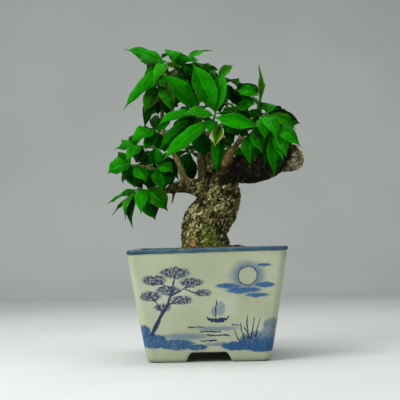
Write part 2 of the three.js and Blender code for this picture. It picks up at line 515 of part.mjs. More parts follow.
// The leaves that the plan gives, and behind each stem the spare ones that the rule sets out.
function planLeaves() {
  const leaves = [];
  STEMS.forEach(([stem, twig, stemTip, tips]) => {
    const base = seen(...twig[twig.length - 1].slice(0, 3));
    const end = seen(...stemTip);
    tips.forEach(([x, z, depth, width, turn, arch], k) => {
      const root = base.clone().lerp(end, 0.38 + (0.62 * k) / (tips.length - 1));
      const swing = (by) => seen(x, z, depth + by);
      leaves.push({ stem, root, swing, width, turn, arch, face: FRONT_FACE, spare: false });
    });
  });
  STEMS.forEach(([stem, twig, stemTip, tips], number) => {
    const base = seen(...twig[twig.length - 1].slice(0, 3));
    const end = seen(...stemTip);
    const count = stem.startsWith("back") ? SPARE_LEAVES.back : SPARE_LEAVES.front;
    for (let k = 0; k < count; k++) {
      const root = base.clone().lerp(end, 0.35 + (0.65 * k) / (count - 1));
      const angle = GOLDEN_ANGLE * k + 0.9 * number;
      const away = new THREE.Vector3(root.x - CROWN_AXIS.x, root.y - CROWN_AXIS.y, 0).normalize();
      const way = new THREE.Vector3(Math.cos(angle), 0.75, 0.8 * Math.sin(angle) - 0.15)
        .addScaledVector(away, 0.25)
        .normalize();
      const length = 21 + 5 * Math.sin(2.1 * k + number);
      const width = 8.5 + 1.5 * Math.sin(1.3 * k + 2 * number);
      const swing = (by) => root.clone().addScaledVector(way, length).add(new THREE.Vector3(0, by, 0));
      const face = new THREE.Vector3(0.3 * way.x, 0.35, 0.9);
      leaves.push({ stem, root, swing, width, turn: 12 * Math.sin(3 * k), arch: 0.12, face, spare: true });
    }
  });
  return leaves;
}

function woodSamples() {
  const samples = [];
  for (const path of Object.values(WOOD))
    for (const p of smoothPath(path, 2.5)) samples.push([...p, ""]);
  for (const [stem, twig, stemTip] of STEMS) {
    for (const p of smoothPath(twig, 2.5)) samples.push([...p, stem]);
    const radius = GREEN_STEM.tipRadius;
    const green = [[...twig[twig.length - 1].slice(0, 3), radius], [...stemTip, radius]];
    for (const p of smoothPath(green, 2.5)) samples.push([...p, stem]);
  }
  return samples;
}

function placeLeaves() {
  const wood = woodSamples();
  const placed = [];
  for (const leaf of planLeaves()) {
    let best = null;
    search: for (const by of SWINGS)
      for (const more of ARCHES) {
        const tried = { ...leaf, tip: leaf.swing(by), arch: leaf.arch + more };
        const points = samplesOf(tried);
        const room = roomOf(tried, points, placed, wood);
        if (!best || room > best.room) best = { ...tried, points, room };
        if (room >= 0) break search;
      }
    if (best.room >= 0 || !leaf.spare) placed.push(best);
  }
  return placed;
}

function makeStem(twig, stemTip, leaves) {
  const [before, base] = smoothPath(twig, BRANCH_STEP).slice(-2).map((p) => new THREE.Vector3(p[0], p[1], p[2]));
  const end = seen(...stemTip);
  const twigWay = base.clone().sub(before).normalize();
  const stemWay = end.clone().sub(base).normalize();
  const ring = (centre, way, r) => {
    const side = new THREE.Vector3(0.3, 1, 0.1);
    side.addScaledVector(way, -side.dot(way)).normalize();
    const other = way.clone().cross(side);
    return Array.from({ length: GREEN_STEM.sides }, (_, i) => centre.clone()
      .addScaledVector(side, r * Math.cos((i * 2 * Math.PI) / GREEN_STEM.sides))
      .addScaledVector(other, r * Math.sin((i * 2 * Math.PI) / GREEN_STEM.sides)));
  };
  const start = ring(base.clone().addScaledVector(twigWay, GAP), twigWay, twig[twig.length - 1][3]);
  const finish = ring(end.addScaledVector(stemWay, GREEN_STEM.overrun), stemWay, GREEN_STEM.tipRadius);
  let solid = solidOf(loft([start, finish]));
  for (const leaf of leaves) solid = solid.add(bladeSolid(leaf));
  return largest(solid);
}

// Materials
const LOOKS = {
  glaze: { color: 0xafb68f, roughness: 0.3, metalness: 0 },
  mesh: { color: 0x2a2c2a, roughness: 0.7, metalness: 0 },
  earth: { color: 0x4b3b2b, roughness: 0.95, metalness: 0 },
  bark: { color: 0x77704a, roughness: 0.9, metalness: 0 },
  leaf: { color: 0x2f7e11, roughness: 0.4, metalness: 0 },
};

function meshOf(name, solid, look) {
  const mesh = new THREE.Mesh(geometryOf(solid), new THREE.MeshStandardMaterial(look));
  mesh.name = name;
  return mesh;
}

const bonsai = new THREE.Group();
bonsai.name = "burning_bush_bonsai";
bonsai.add(meshOf("pot", makePot(), LOOKS.glaze));
bonsai.add(meshOf("drain_screen", makeScreen(), LOOKS.mesh));
bonsai.add(meshOf("soil", makeSoil(), LOOKS.earth));
bonsai.add(meshOf("trunk", makeTrunk(), LOOKS.bark));
const leaves = placeLeaves();
for (const [stem, twig, stemTip] of STEMS) {
  const own = leaves.filter((leaf) => leaf.stem === stem);
  bonsai.add(meshOf("stem_" + stem, makeStem(twig, stemTip, own), LOOKS.leaf));
}

bonsai.position.set(POT_CENTRE.x, POT_CENTRE.y, 0);

export default bonsai;
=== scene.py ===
"""Builds the looks of a burning bush bonsai in its painted square pot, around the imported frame."""

import math

import bpy
import numpy as np
from mathutils import Matrix, Vector


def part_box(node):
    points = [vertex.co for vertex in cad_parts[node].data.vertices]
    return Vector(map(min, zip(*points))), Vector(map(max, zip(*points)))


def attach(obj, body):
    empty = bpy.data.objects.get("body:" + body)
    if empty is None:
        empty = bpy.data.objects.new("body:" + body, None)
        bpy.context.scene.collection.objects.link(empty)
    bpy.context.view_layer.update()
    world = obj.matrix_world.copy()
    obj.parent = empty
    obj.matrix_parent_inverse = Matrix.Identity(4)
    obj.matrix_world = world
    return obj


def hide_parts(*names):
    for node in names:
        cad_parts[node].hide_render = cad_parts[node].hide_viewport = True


bl_info = {
    "name": "Burning Bush Bonsai",
    "version": (1, 0, 0),
    "blender": (4, 5, 0),
    "location": "View3D > Sidebar > Bonsai",
    "description": "A small burning bush bonsai in a glazed square pot with a blue brush painting",
    "category": "Object",
}

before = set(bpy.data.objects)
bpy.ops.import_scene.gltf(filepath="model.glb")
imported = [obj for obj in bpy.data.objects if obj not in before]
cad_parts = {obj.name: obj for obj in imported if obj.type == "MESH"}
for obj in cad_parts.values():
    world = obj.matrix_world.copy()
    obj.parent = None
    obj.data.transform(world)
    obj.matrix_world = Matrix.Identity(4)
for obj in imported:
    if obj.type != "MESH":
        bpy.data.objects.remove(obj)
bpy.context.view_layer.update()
MM = 0.001
POT_LOW, POT_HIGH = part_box("pot")
POT_CENTRE = np.array([(POT_LOW.x + POT_HIGH.x) / 2, (POT_LOW.y + POT_HIGH.y) / 2, 0]) / MM

# The plan of the plant, the same as the frame's: everything is read from the front, in millimetres.
VIEW_DISTANCE, VIEW_HEIGHT = 750, 78.5
FRONT_FACE = (0, -0.85, 0.53)  # the way the leaves of the front turn their faces
CROWN_AXIS = (-2, 4)
SPARE_LEAVES = {"front": 2, "back": 6}
GOLDEN_ANGLE = 2.39996
CAMERA_PLACE = (0, -VIEW_DISTANCE, VIEW_HEIGHT)
CAMERA_TURN = (0.34, 2.63, 1.1)  # pan to the left, tilt up and roll, in degrees
WOOD_STEP, THICK_STEP, GREEN_RADIUS = 2.5, 1.5, 0.75

# Wood, as paths of [across, height, depth, radius]
WOOD = {
    "trunk": [[-1, 50, 0, 9], [-1.2, 60, 0, 15], [-0.9, 76, 0, 17.7], [-2, 87, 0, 16.7],
        [-1.3, 94.4, 1, 16.6], [2.3, 99.6, 1.5, 16.9], [6.2, 104.7, 2, 16.3], [8.6, 109.8, 2, 15.8],
        [10, 115, 2, 15.4], [9.4, 120, 1, 15], [9.6, 128, 0, 13], [9.2, 132.5, 0, 9]],
    "right_branch": [[8, 125, 0, 9], [20, 134, -1, 9.8], [33, 134.8, -3, 10.4], [44, 137, -4, 10.1],
        [53, 141.2, -5, 9], [60.5, 142, -5, 9.8], [65.5, 142.8, -5, 9.7], [69, 143.5, -5, 7.8],
        [71.2, 144, -5, 4]],
    "left_branch": [[1, 120, 0, 7.5], [-8, 122.5, -1, 6.3], [-15, 123.3, -3, 5], [-22, 122.4, -5, 4],
        [-27.5, 120.6, -6, 2.6], [-31, 119.4, -7, 1.7]],
    "left_riser": [[-13, 122, -4, 3.6], [-16, 129.5, -5, 2.9], [-18.3, 137, -6, 2.2], [-21.3, 144, -7, 2],
        [-25.5, 151, -6, 1.8], [-29, 159, -3, 1.7], [-31, 171, 0, 1.6], [-30, 184, 0, 1.5],
        [-27, 196, -1, 1.4]],
    "middle_riser": [[-1, 126, -3, 4.6], [-2.2, 136, -5, 3.9], [-2.8, 146, -6, 3.1], [0, 156, -8, 2.4],
        [-3, 170, 2, 1.9], [-6, 185, 8, 1.6]],
    "right_riser": [[11, 126, -4, 4.8], [13.5, 137, -6, 3.7], [17, 144, -8, 3.4], [19.6, 148.6, -9, 3]],
    "right_fork": [[16.5, 143, -8, 2.4], [24, 154, -7, 2.1], [29, 162, -6, 1.8], [33, 170, -4, 1.5]],
    "hanging_twig": [[-23.4, 119, -5, 1.3], [-24, 115, -6, 1], [-25.2, 110.5, -6, 0.6]],
    "back_riser": [[6, 126, 5, 3.8], [4, 140, 12, 2.8], [0, 156, 18, 2.2], [-4, 172, 22, 1.8],
        [-8, 188, 24, 1.5]],
    "back_left": [[0, 156, 18, 1.9], [-14, 160, 22, 1.6], [-26, 160, 26, 1.3]],
    "back_right": [[2, 148, 15, 2], [16, 158, 22, 1.7], [28, 163, 26, 1.4]],
}
# Leafy stems: the twig's path as above, the tip of the green stem, and the leaves' tips as
# [across, height, depth, width, turn in degrees, arch]; without the last two they are 0 and 0.1
STEMS = [
  ["crown_tip", [[-27, 196, -1, 1.4], [-22, 204.5, -1, 1.3], [-17.5, 209.5, -1, 1.1]], [-13.5, 214.5, -2], [
    [-28.6, 223.9, 2, 11.5, 20, 0.1], [-16.3, 222, -6, 10.5, 0, 0.05], [-29, 212.3, -14, 9, 10, 0.1],
    [7, 222.2, -6, 8.5, -28, 0.14], [-8, 204, -10, 9, 0, 0.15], [-4, 215.5, 10, 8],
    [-27, 204, 16, 11, 0, 0.08]]],
  ["crown_left", [[-27, 196, -1, 1.4], [-27.5, 202, -3, 1.2], [-27, 207, -4, 1.1]], [-26, 213.5, -5], [
    [-46.5, 190.5, -20, 11, 0, 0.15], [-59, 180, -14, 10.5, 10, 0.16], [-47, 216, -2, 10, 10, 0.06],
    [-57.8, 224.9, -12, 14.5, 10, 0.05], [-44.5, 201, 6, 10.5, 0, 0.2], [-37, 199, -14, 9],
    [-34, 193, 4, 12, 0, 0.08]]],
  ["crown_low", [[-30, 184, 0, 1.4], [-31, 190, -3, 1.2], [-32, 194, -5, 1]], [-34, 198, -8], [
    [-44.1, 177.7, -16, 11, 0, 0.12], [-44, 166.3, -5, 9, 10, 0.1], [-22, 177, -14, 10.5, 0, 0.12],
    [-34, 175, -6, 9], [-26, 173.5, 8, 9]]],
  ["crown_back", [[-6, 185, 8, 1.5], [-4, 194, 11, 1.3], [-1, 200, 12, 1.1]], [2, 206, 12], [
    [-6, 215, 14, 9], [4, 213.5, 18, 9], [11, 208.5, 12, 9.5],
    [12, 200, 9, 9], [-19, 206.5, 18, 12]]],
  ["centre", [[0, 156, -8, 2.2], [3, 163, -13, 1.8], [5.5, 168, -18, 1.4]], [8, 176, -24], [
    [3, 161.5, -34, 9], [-32, 141.5, -36, 12.5, 5, 0.12], [39.5, 165.3, -30, 10.5, 25, 0.12],
    [-16, 176, -36, 10], [14, 207.5, -16, 14, -15, 0.05], [-8, 213.5, -22, 16, 0, 0.06]]],
  ["centre_left", [[0, 156, -8, 1.9], [-3, 165, -9, 1.5], [-5, 171, -10, 1.2]], [-4, 177, -13], [
    [-34, 149, -14, 10.5, 0, 0.12], [-36, 166.5, -22, 10, 10, 0.12], [-24, 176, -8, 10.5],
    [-27, 162.5, -17, 10], [-31, 206.5, -12, 14, 0, 0.08], [-16, 193, 0, 13]]],
  ["crown_right", [[-6, 185, 8, 1.4], [2, 191, 8, 1.2], [9, 195, 7, 1]], [13.5, 199, 5], [
    [21.6, 210.8, 2, 10, -20, 0.12], [3, 209, -2, 8], [13, 182, -2, 9.5],
    [20, 184.5, 12, 9]]],
  ["right_top", [[2, 191, 8, 1.2], [9, 193.5, 12, 1.1], [16.4, 195.3, 13, 1], [20.5, 193.5, 12, 0.9]],
    [26, 192.4, 9], [
      [37, 182, 0, 10, 0, 0.12], [24, 181, 0, 9.5], [31.5, 196, 12, 8, 20, 0.06],
      [39.3, 195, 2, 8, 20, 0.06], [41, 188, 12, 9, 20, 0.1], [17.5, 179, 16, 9]]],
  ["right_middle", [[-6, 185, 8, 1.3], [5, 186.5, 7, 1.1], [15, 184, 5, 0.9], [20, 182.3, 3, 0.9]],
    [24, 179, 0], [
      [15, 168, -8, 10], [37.5, 182.5, -10, 8, 30, 0.12], [33, 171, -8, 10.5],
      [22, 162, 2, 10]]],
  ["upright", [[33, 170, -4, 1.4], [36.5, 173.5, -3, 1.1]], [39.2, 179, -3], [
    [33, 188, -8, 8], [47, 182, 4, 8.5], [40.4, 212, -1, 8.5, 62, -0.02]]],
  ["right", [[29, 162, -6, 1.6], [37, 168, -9, 1.3], [42, 171.5, -11, 1.1]], [46, 175, -13], [
    [44, 156.3, -30, 11.5], [53, 155, -26, 11, 0, 0.12], [66.5, 163, -6, 10, 10, 0.14],
    [69.8, 167.4, -14, 13, 20, 0.14], [48.3, 182.7, -12, 9, 0, 0.05], [60, 176.5, 6, 10, 20, 0.1]]],
  ["right_front", [[47, 141, -6, 3], [49, 152, -9, 1.7], [51, 159, -12, 1.3]], [52, 166, -15], [
    [42.5, 136, -24, 9.5, -10, 0.1], [50, 127.8, -32, 12], [57, 140, -22, 10],
    [70.5, 149.8, -14, 10.5, 15, 0.22], [59.5, 142.5, -20, 9, 0, 0.12], [60, 160, 0, 9, 10, 0.12]]],
  ["right_low", [[24, 154, -7, 1.8], [28, 156.5, -10, 1.5], [31, 158, -12, 1.2]], [35.5, 163, -15], [
    [20, 163, -20, 9], [32.5, 138.3, -32, 14, 0, 0.08], [42, 146, -24, 10],
    [26, 172, -14, 9.5]]],
  ["left_middle", [[-29, 159, -3, 1.5], [-33, 161, -6, 1.2]], [-37, 164.2, -9], [
    [-29, 148, -20, 10.5], [-44, 150, -16, 9], [-53.5, 156.3, -14, 13, 10, 0.11],
    [-36, 176, 10, 8], [-24, 172, 0, 9]]],
  ["left", [[-25.5, 151, -6, 1.6], [-35, 152, -8, 1.3], [-43, 152.5, -7, 1.1]], [-50, 153.5, -7], [
    [-51, 141, -12, 9.5], [-58, 142, -14, 9, 0, 0.12], [-66, 151.2, -10, 9.5, 10, 0.1],
    [-61.5, 158.2, -4, 9, 10, 0.06], [-52, 162, 4, 9]]],
  ["left_low", [[-29, 129, -8, 1.6], [-36, 135.5, -8, 1.3], [-43, 138, -9, 1.2], [-49, 139, -10, 1.1]],
    [-55, 139.5, -10], [
      [-43, 127, -22, 10.5], [-52, 122.5, -22, 13], [-60.5, 126, 2, 10, 0, 0.12],
      [-71.5, 133.6, -14, 15, 10, 0.16], [-64, 149.5, -10, 9, 0, 0.05], [-46.5, 121.5, -6, 11, 0, 0.08]]],
  ["left_inner", [[-22, 122.4, -5, 2.2], [-29, 129, -8, 1.6], [-31.5, 133, -11, 1.2]], [-35.5, 140, -15], [
    [-24.5, 124, -4, 12.5], [-30.5, 120, -22, 15], [-41, 122.5, -14, 12],
    [-23.5, 133.5, -16, 10.5], [-50, 147, -6, 9.5], [-37, 153, -12, 10, 0, 0.08]]],
  ["low_spray", [[-31, 119.4, -7, 1.5], [-38, 119.3, -8, 1.3], [-43, 120.4, -9, 1.1]], [-49, 122, -10], [
    [-28, 105, -16, 15.5, 0, 0.16], [-37.2, 98.6, -20, 13.5, 0, 0.08], [-47.6, 102.8, -24, 9.5, 0, 0.12],
    [-53.8, 92.8, -18, 8, 45, 0.1], [-58.9, 99, -16, 8, 45, 0.12], [-68.8, 102.9, -18, 7.5, 35, 0.1],
    [-72.05, 111.4, -14, 9, 28, 0.1]]],
  ["inner", [[-3, 146, -6, 2], [-5, 155, -9, 1.4], [-5.5, 160, -11, 1.2]], [-5, 166, -14], [
    [0.5, 143.6, -24, 14, 0, 0.08], [-18, 152, -14, 10], [-17, 161, -4, 9]]],
  ["hanging", [[3, 163, -12, 1.4], [6, 165, -15, 1.2], [9, 166.6, -17, 1]], [13.5, 168.5, -20], [
    [8.2, 130.6, -28, 9.5, 0, 0.06], [7, 151.5, -26, 8.5, 0, 0.14], [21.5, 153.5, -24, 9],
    [25, 158.5, -6, 8]]],
  ["crown_middle", [[-27, 196, -1, 1.4], [-21, 199, 2, 1.2], [-16, 200, 4, 1.1]], [-11, 202, 5], [
    [-20, 183, 4, 11], [-10, 186, -2, 10], [-23, 212, 2, 9],
    [0, 199, 3, 9, 10, 0.1], [-5, 212, 2, 9], [-12, 180, 12, 10]]],
  ["left_behind", [[-29, 129, -8, 1.5], [-33, 133, 0, 1.2], [-36, 136, 6, 1.1]], [-40, 139, 9], [
    [-29, 125, 10, 12], [-42, 120.5, 6, 13], [-31, 147, 6, 10],
    [-56, 131, 8, 11], [-48, 147, 10, 10], [-21.5, 129, 12, 12, 0, 0.08]]],
  ["right_behind", [[47, 141, -6, 2.4], [45, 150, 2, 1.5], [46, 156, 6, 1.2]], [49, 160, 9], [
    [38, 147, 2, 10], [52, 147, 0, 11], [57.5, 151, 8, 10],
    [40, 167, 8, 9], [59, 167, 12, 9]]],
  ["back_crown", [[-8, 188, 24, 1.5], [-12, 195, 25, 1.2]], [-14, 201, 26], [
    [-27, 208, 20, 13], [-8, 214, 24, 12]]],
  ["back_crown_left", [[-30, 184, 0, 1.4], [-29, 187, 10, 1.2], [-28, 190, 16, 1.1]], [-29, 194, 21], [
    [-38, 176, 12, 13], [-19, 181, 14, 12], [-37, 206, 16, 12]]],
  ["back_crown_right", [[-8, 188, 24, 1.4], [0, 192, 27, 1.2], [5, 193, 29, 1.1]], [9, 196, 31], [
    [12, 176, 24, 13], [20, 184, 26, 11]]],
  ["back_centre", [[-4, 172, 22, 1.6], [-6, 175, 28, 1.3], [-6, 176, 33, 1.1]], [-5, 178, 38], []],
  ["back_left", [[-26, 160, 26, 1.3], [-31, 161, 28, 1.1]], [-36, 163, 30], []],
  ["back_right", [[28, 163, 26, 1.4], [33, 165, 27, 1.1]], [38, 168, 28], []],
  ["back_low", [[0, 150, 17, 1.6], [-6, 150, 26, 1.3], [-9, 149, 29, 1.1]], [-13, 147, 32], [
    [-17, 125, 26, 12, 0, 0.08], [-9.5, 125.5, 29, 10.5, 0, 0.08]]],
  ["back_low_right", [[9, 153, 18, 1.6], [14, 152, 28, 1.3], [17, 151, 33, 1.1]], [21, 152, 38], []],
  ["back_low_left", [[-14, 160, 22, 1.4], [-22, 152, 22, 1.2], [-29, 147, 22, 1.1]], [-36, 144, 22], [
    [-31, 127, 24, 11], [-19, 127, 20, 13]]],
  ["back_right_low", [[38, 141, 2, 2.4], [42, 150, 12, 1.6], [46, 154, 17, 1.2]], [50, 157, 21], []],
]
# How smooth and tan the bark of a limb is, and how much painted shade darkens it
PALE_WOOD = {"right_riser": 1.0, "middle_riser": 0.2, "left_riser": 0.9, "right_fork": 0.6}
PALE_TWIG = 0.6
SHADED_WOOD = {"right_branch": 1.0, "middle_riser": 0.5}
YOUNG_LEAVES = {("crown_tip", 2): 0.6, ("hanging", 1): 1.0, ("upright", 2): 0.35}  # yellow-green ones
SHADED_STEMS = {"crown_low": 0.35, "left_inner": 0.3, "left_behind": 0.35, "crown_middle": 0.3, "inner": 0.45,
              "right_behind": 0.2, "left_low": 0.1}  # stems whose leaves are painted darker, as painted shade inside the crown


class Sock:
    """A node's output that takes part in arithmetic: each operator adds a Math or a Vector Math node."""

    def __init__(self, graph, socket):
        self.graph = graph
        self.socket = socket

    def other(self, name):
        return Sock(self.graph, self.graph.output(self.socket.node, name))

    def math(self, operation, *terms):
        return self.graph.add("ShaderNodeMath", {"operation": operation}, dict(enumerate(terms)))

    def pair(self, operation, first, second):
        vectors = [t for t in (first, second) if isinstance(t, tuple) or getattr(t, "is_vector", False)]
        if not vectors:
            return self.math(operation, first, second)
        inputs = {0: first, 1: second}
        if operation == "MULTIPLY" and len(vectors) == 1:
            operation = "SCALE"
            inputs = {0: vectors[0], "Scale": second if vectors[0] is first else first}
        return self.graph.add("ShaderNodeVectorMath", {"operation": operation}, inputs)

    @property
    def is_vector(self):
        return self.socket.type in ("VECTOR", "RGBA")

    def __add__(self, other): return self.pair("ADD", self, other)
    def __radd__(self, other): return self.pair("ADD", other, self)
    def __sub__(self, other): return self.pair("SUBTRACT", self, other)
    def __rsub__(self, other): return self.pair("SUBTRACT", other, self)
    def __mul__(self, other): return self.pair("MULTIPLY", self, other)
    def __rmul__(self, other): return self.pair("MULTIPLY", other, self)
    def __truediv__(self, other): return self.pair("DIVIDE", self, other)
    def __rtruediv__(self, other): return self.pair("DIVIDE", other, self)
    def __pow__(self, other): return self.math("POWER", self, other)
    def __neg__(self): return self * -1
    def __abs__(self): return self.math("ABSOLUTE", self)
    def __gt__(self, other): return self.math("GREATER_THAN", self, other)
    def __lt__(self, other): return self.math("LESS_THAN", self, other)

    def sin(self): return self.math("SINE", self)
    def cos(self): return self.math("COSINE", self)
    def floor(self): return self.math("FLOOR", self)
    def fract(self): return self.math("FRACT", self)
    def most(self, other): return self.math("MAXIMUM", self, other)
    def least(self, other): return self.math("MINIMUM", self, other)

    def rise(self, low, high):
        """A soft step from 0 at low to 1 at high, also where low is above high."""
        return self.graph.add("ShaderNodeMapRange", {"interpolation_type": "SMOOTHSTEP"},
                              {"Value": self, "From Min": low, "From Max": high})

    def vector(self, operation, *terms, output=0):
        inputs = dict(enumerate((self, *terms)))
        return self.graph.add("ShaderNodeVectorMath", {"operation": operation}, inputs, output)

    def dot(self, other): return self.vector("DOT_PRODUCT", other, output="Value")
    def length(self): return self.vector("LENGTH", output="Value")
    def unit(self): return self.vector("NORMALIZE")
    def cross(self, other): return self.vector("CROSS_PRODUCT", other)

    def parts(self):
        x = self.graph.add("ShaderNodeSeparateXYZ", {}, {0: self})
        return x, x.other("Y"), x.other("Z")


class Graph:
    """Adds nodes to one tree, a material's or a geometry's."""

    def __init__(self, tree):
        self.tree = tree

    @staticmethod
    def output(node, name):
        shown = [s for s in node.outputs if s.enabled]
        return shown[name] if isinstance(name, int) else next(s for s in shown if s.name == name)

    def feed(self, socket, value):
        if isinstance(value, Sock):
            self.tree.links.new(value.socket, socket)
        elif isinstance(value, list):
            for one in value:
                self.feed(socket, one)
        elif socket.type == "RGBA":
            socket.default_value = (*value, 1)[:4]
        elif socket.type in ("VECTOR", "ROTATION") and isinstance(value, (int, float)):
            socket.default_value = (value, value, value)
        else:
            socket.default_value = value

    def add(self, kind, settings=None, inputs=None, output=0):
        """A node of this type: its settings first, then its sockets by name or place; returns one output."""
        node = self.tree.nodes.new(kind)
        for key, value in (settings or {}).items():
            if key == "stops":
                ramp = node.color_ramp.elements
                while len(ramp) < len(value):
                    ramp.new(1)
                for stop, (at, colour) in zip(ramp, value):
                    stop.position = at
                    stop.color = (*colour, 1)
            else:
                setattr(node, key, value)
        shown = [s for s in node.inputs if s.enabled]
        for key, value in (inputs or {}).items():
            self.feed(shown[key] if isinstance(key, int) else next(s for s in shown if s.name == key), value)
        return Sock(self, self.output(node, output))

    def geo(self, kind, settings=None, output=0, **inputs):
        """A geometry node, with its sockets as keywords."""
        return self.add("GeometryNode" + kind, settings, spaced(inputs), output)

    def mix(self, share, first, second):
        inputs = {"Factor": share, "A": first, "B": second}
        return self.add("ShaderNodeMix", {"data_type": "RGBA"}, inputs, "Result")

    def noise(self, place, scale, detail=2, output="Fac"):
        return self.add("ShaderNodeTexNoise", {}, {"Vector": place, "Scale": scale, "Detail": detail}, output)

    def cells(self, place, scale, feature="F1", output="Distance"):
        inputs = {"Vector": place, "Scale": scale}
        return self.add("ShaderNodeTexVoronoi", {"feature": feature}, inputs, output)

    def chance(self, kind, seed, **limits):
        return self.add("FunctionNodeRandomValue", {"data_type": kind}, {**limits, "Seed": seed}, "Value")

    @property
    def in_geometry(self):
        return self.tree.bl_idname == "GeometryNodeTree"

    def place(self):
        """The place of each point in millimetres from the foot of the pot."""
        if self.in_geometry:
            here = self.geo("InputPosition")
        else:
            here = self.add("ShaderNodeTexCoord", output="Object")
        return here * (1 / MM, 1 / MM, 1 / MM) - tuple(POT_CENTRE)

    def bump(self, height, distance, strength):
        inputs = {"Height": height, "Distance": distance * MM, "Strength": strength}
        return self.add("ShaderNodeBump", {}, inputs)

    def attribute(self, name, kind="FLOAT"):
        """A stored attribute, in a material or in a geometry tree."""
        if self.in_geometry:
            return self.geo("InputNamedAttribute", {"data_type": kind}, "Attribute", Name=name)
        return self.add("ShaderNodeAttribute", {"attribute_name": name}, {}, "Fac")

    def attributes(self, *names):
        return [self.attribute(name) for name in names]

    def store(self, geometry, domain="POINT", **values):
        for name, value in values.items():
            geometry = self.geo("StoreNamedAttribute", {"data_type": "FLOAT", "domain": domain},
                                Geometry=geometry, Name=name, Value=value)
        return geometry

    def tubes(self, lines, sides, radius):
        """Round tubes along the edges of a mesh."""
        ring = self.geo("CurvePrimitiveCircle", Resolution=sides, Radius=1.0)
        curve = self.geo("MeshToCurve", Mesh=lines)
        return self.geo("CurveToMesh", Curve=curve, Profile_Curve=ring, Scale=radius, Fill_Caps=True)


def spaced(inputs):
    """Sockets by their own names, which have spaces where keywords have underscores."""
    return {name.replace("_", " "): value for name, value in inputs.items()}


def material(name, paint, look, **fixed):
    """A Principled material: paint gives what changes over the surface, fixed the constant sockets."""
    made = bpy.data.materials.new(name)
    made.use_nodes = True
    made.node_tree.nodes.clear()
    graph = Graph(made.node_tree)
    shader = graph.add("ShaderNodeBsdfPrincipled", {}, {**spaced(fixed), **paint(graph, look, graph.place())})
    out = made.node_tree.nodes.new("ShaderNodeOutputMaterial")
    graph.feed(out.inputs["Surface"], shader)
    return made


SOCKETS = {int: "NodeSocketInt", float: "NodeSocketFloat", bpy.types.Material: "NodeSocketMaterial"}


def geometry_tree(name, values, build):
    """A geometry tree with an input for each value; build turns them into the geometry that it gives."""
    tree = bpy.data.node_groups.new(name, "GeometryNodeTree")
    tree.interface.new_socket("Geometry", in_out="INPUT", socket_type="NodeSocketGeometry")
    for label, value in values.items():
        tree.interface.new_socket(label, in_out="INPUT", socket_type=SOCKETS[type(value)])
    tree.interface.new_socket("Geometry", in_out="OUTPUT", socket_type="NodeSocketGeometry")
    graph = Graph(tree)
    given = {s.name: Sock(graph, s) for s in tree.nodes.new("NodeGroupInput").outputs if s.name}
    out = tree.nodes.new("NodeGroupOutput")
    graph.feed(out.inputs[0], build(graph, given))
    return tree


def grow(obj, tree, values):
    """Puts the tree on the object with these values for its named inputs."""
    modifier = obj.modifiers.new(tree.name, "NODES")
    modifier.node_group = tree
    for item in tree.interface.items_tree:
        if item.in_out == "INPUT" and item.name in values:
            modifier[item.identifier] = values[item.name]


def settle(obj):
    """Turns what the modifiers make into the object's plain mesh."""
    depsgraph = bpy.context.evaluated_depsgraph_get()
    made = bpy.data.meshes.new_from_object(obj.evaluated_get(depsgraph), preserve_all_data_layers=True,
                                           depsgraph=depsgraph)
    obj.modifiers.clear()
    obj.data = made
    return obj


def mesh_object(name, points, faces=(), edges=()):
    """An object at the origin with a mesh given in millimetres in the pot's own frame."""
    mesh = bpy.data.meshes.new(name)
    mesh.from_pydata(((np.asarray(points, float) + POT_CENTRE) * MM).tolist(), edges, faces)
    obj = bpy.data.objects.new(name, mesh)
    bpy.context.scene.collection.objects.link(obj)
    return obj


def give(obj, name, values):
    """Stores numbers or vectors on the object's points."""
    values = np.asarray(values, np.float32)
    vectors = values.ndim == 2
    made = obj.data.attributes.new(name, "FLOAT_VECTOR" if vectors else "FLOAT", "POINT")
    made.data.foreach_set("vector" if vectors else "value", values.ravel())


def keep(obj, node, slot, *looks):
    """The piece stands for its node, which it hides, and takes the given looks; the slot is not used."""
    for look in looks:
        obj.data.materials.append(look)
    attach(obj, "root")
    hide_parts(node)
    return obj


def seen(x, z, depth):
    """The point that is read at x, z from the front when it lies this deep."""
    spread = (VIEW_DISTANCE + depth) / VIEW_DISTANCE
    return np.array([x * spread, depth, VIEW_HEIGHT + (z - VIEW_HEIGHT) * spread])


def smooth_path(path, step):
    """Points [x, y, z, radius] along a smooth path through the plan's points."""
    knots = [np.array([*seen(*point[:3]), point[3]]) for point in path]

    def at(i):
        return knots[min(max(i, 0), len(knots) - 1)]

    points = []
    for i in range(len(knots) - 1):
        steps = max(1, math.floor(np.linalg.norm((at(i + 1) - at(i))[:3]) / step + 0.5))
        for t in np.arange(steps) / steps:
            a, b, c, d = at(i - 1), at(i), at(i + 1), at(i + 2)
            points.append(b + 0.5 * t * (c - a + t * (2 * a - 5 * b + 4 * c - d + t * (3 * (b - c) + d - a))))
    return np.array(points + [knots[-1]])


def unit(v):
    return v / np.linalg.norm(v)


def blade_frame(leaf):
    """The middle of the midrib's arch and the way the blade's side points."""
    root, tip, turn = leaf["root"], leaf["tip"], math.radians(leaf["turn"])
    length = np.linalg.norm(tip - root)
    way = (tip - root) / length
    up = unit(leaf["face"] - leaf["face"].dot(way) * way)
    across = np.cross(way, up)
    lift = up * math.cos(turn) + across * math.sin(turn)
    side = across * math.cos(turn) - up * math.sin(turn)
    return (root + tip) / 2 + lift * 2 * leaf["arch"] * length, side


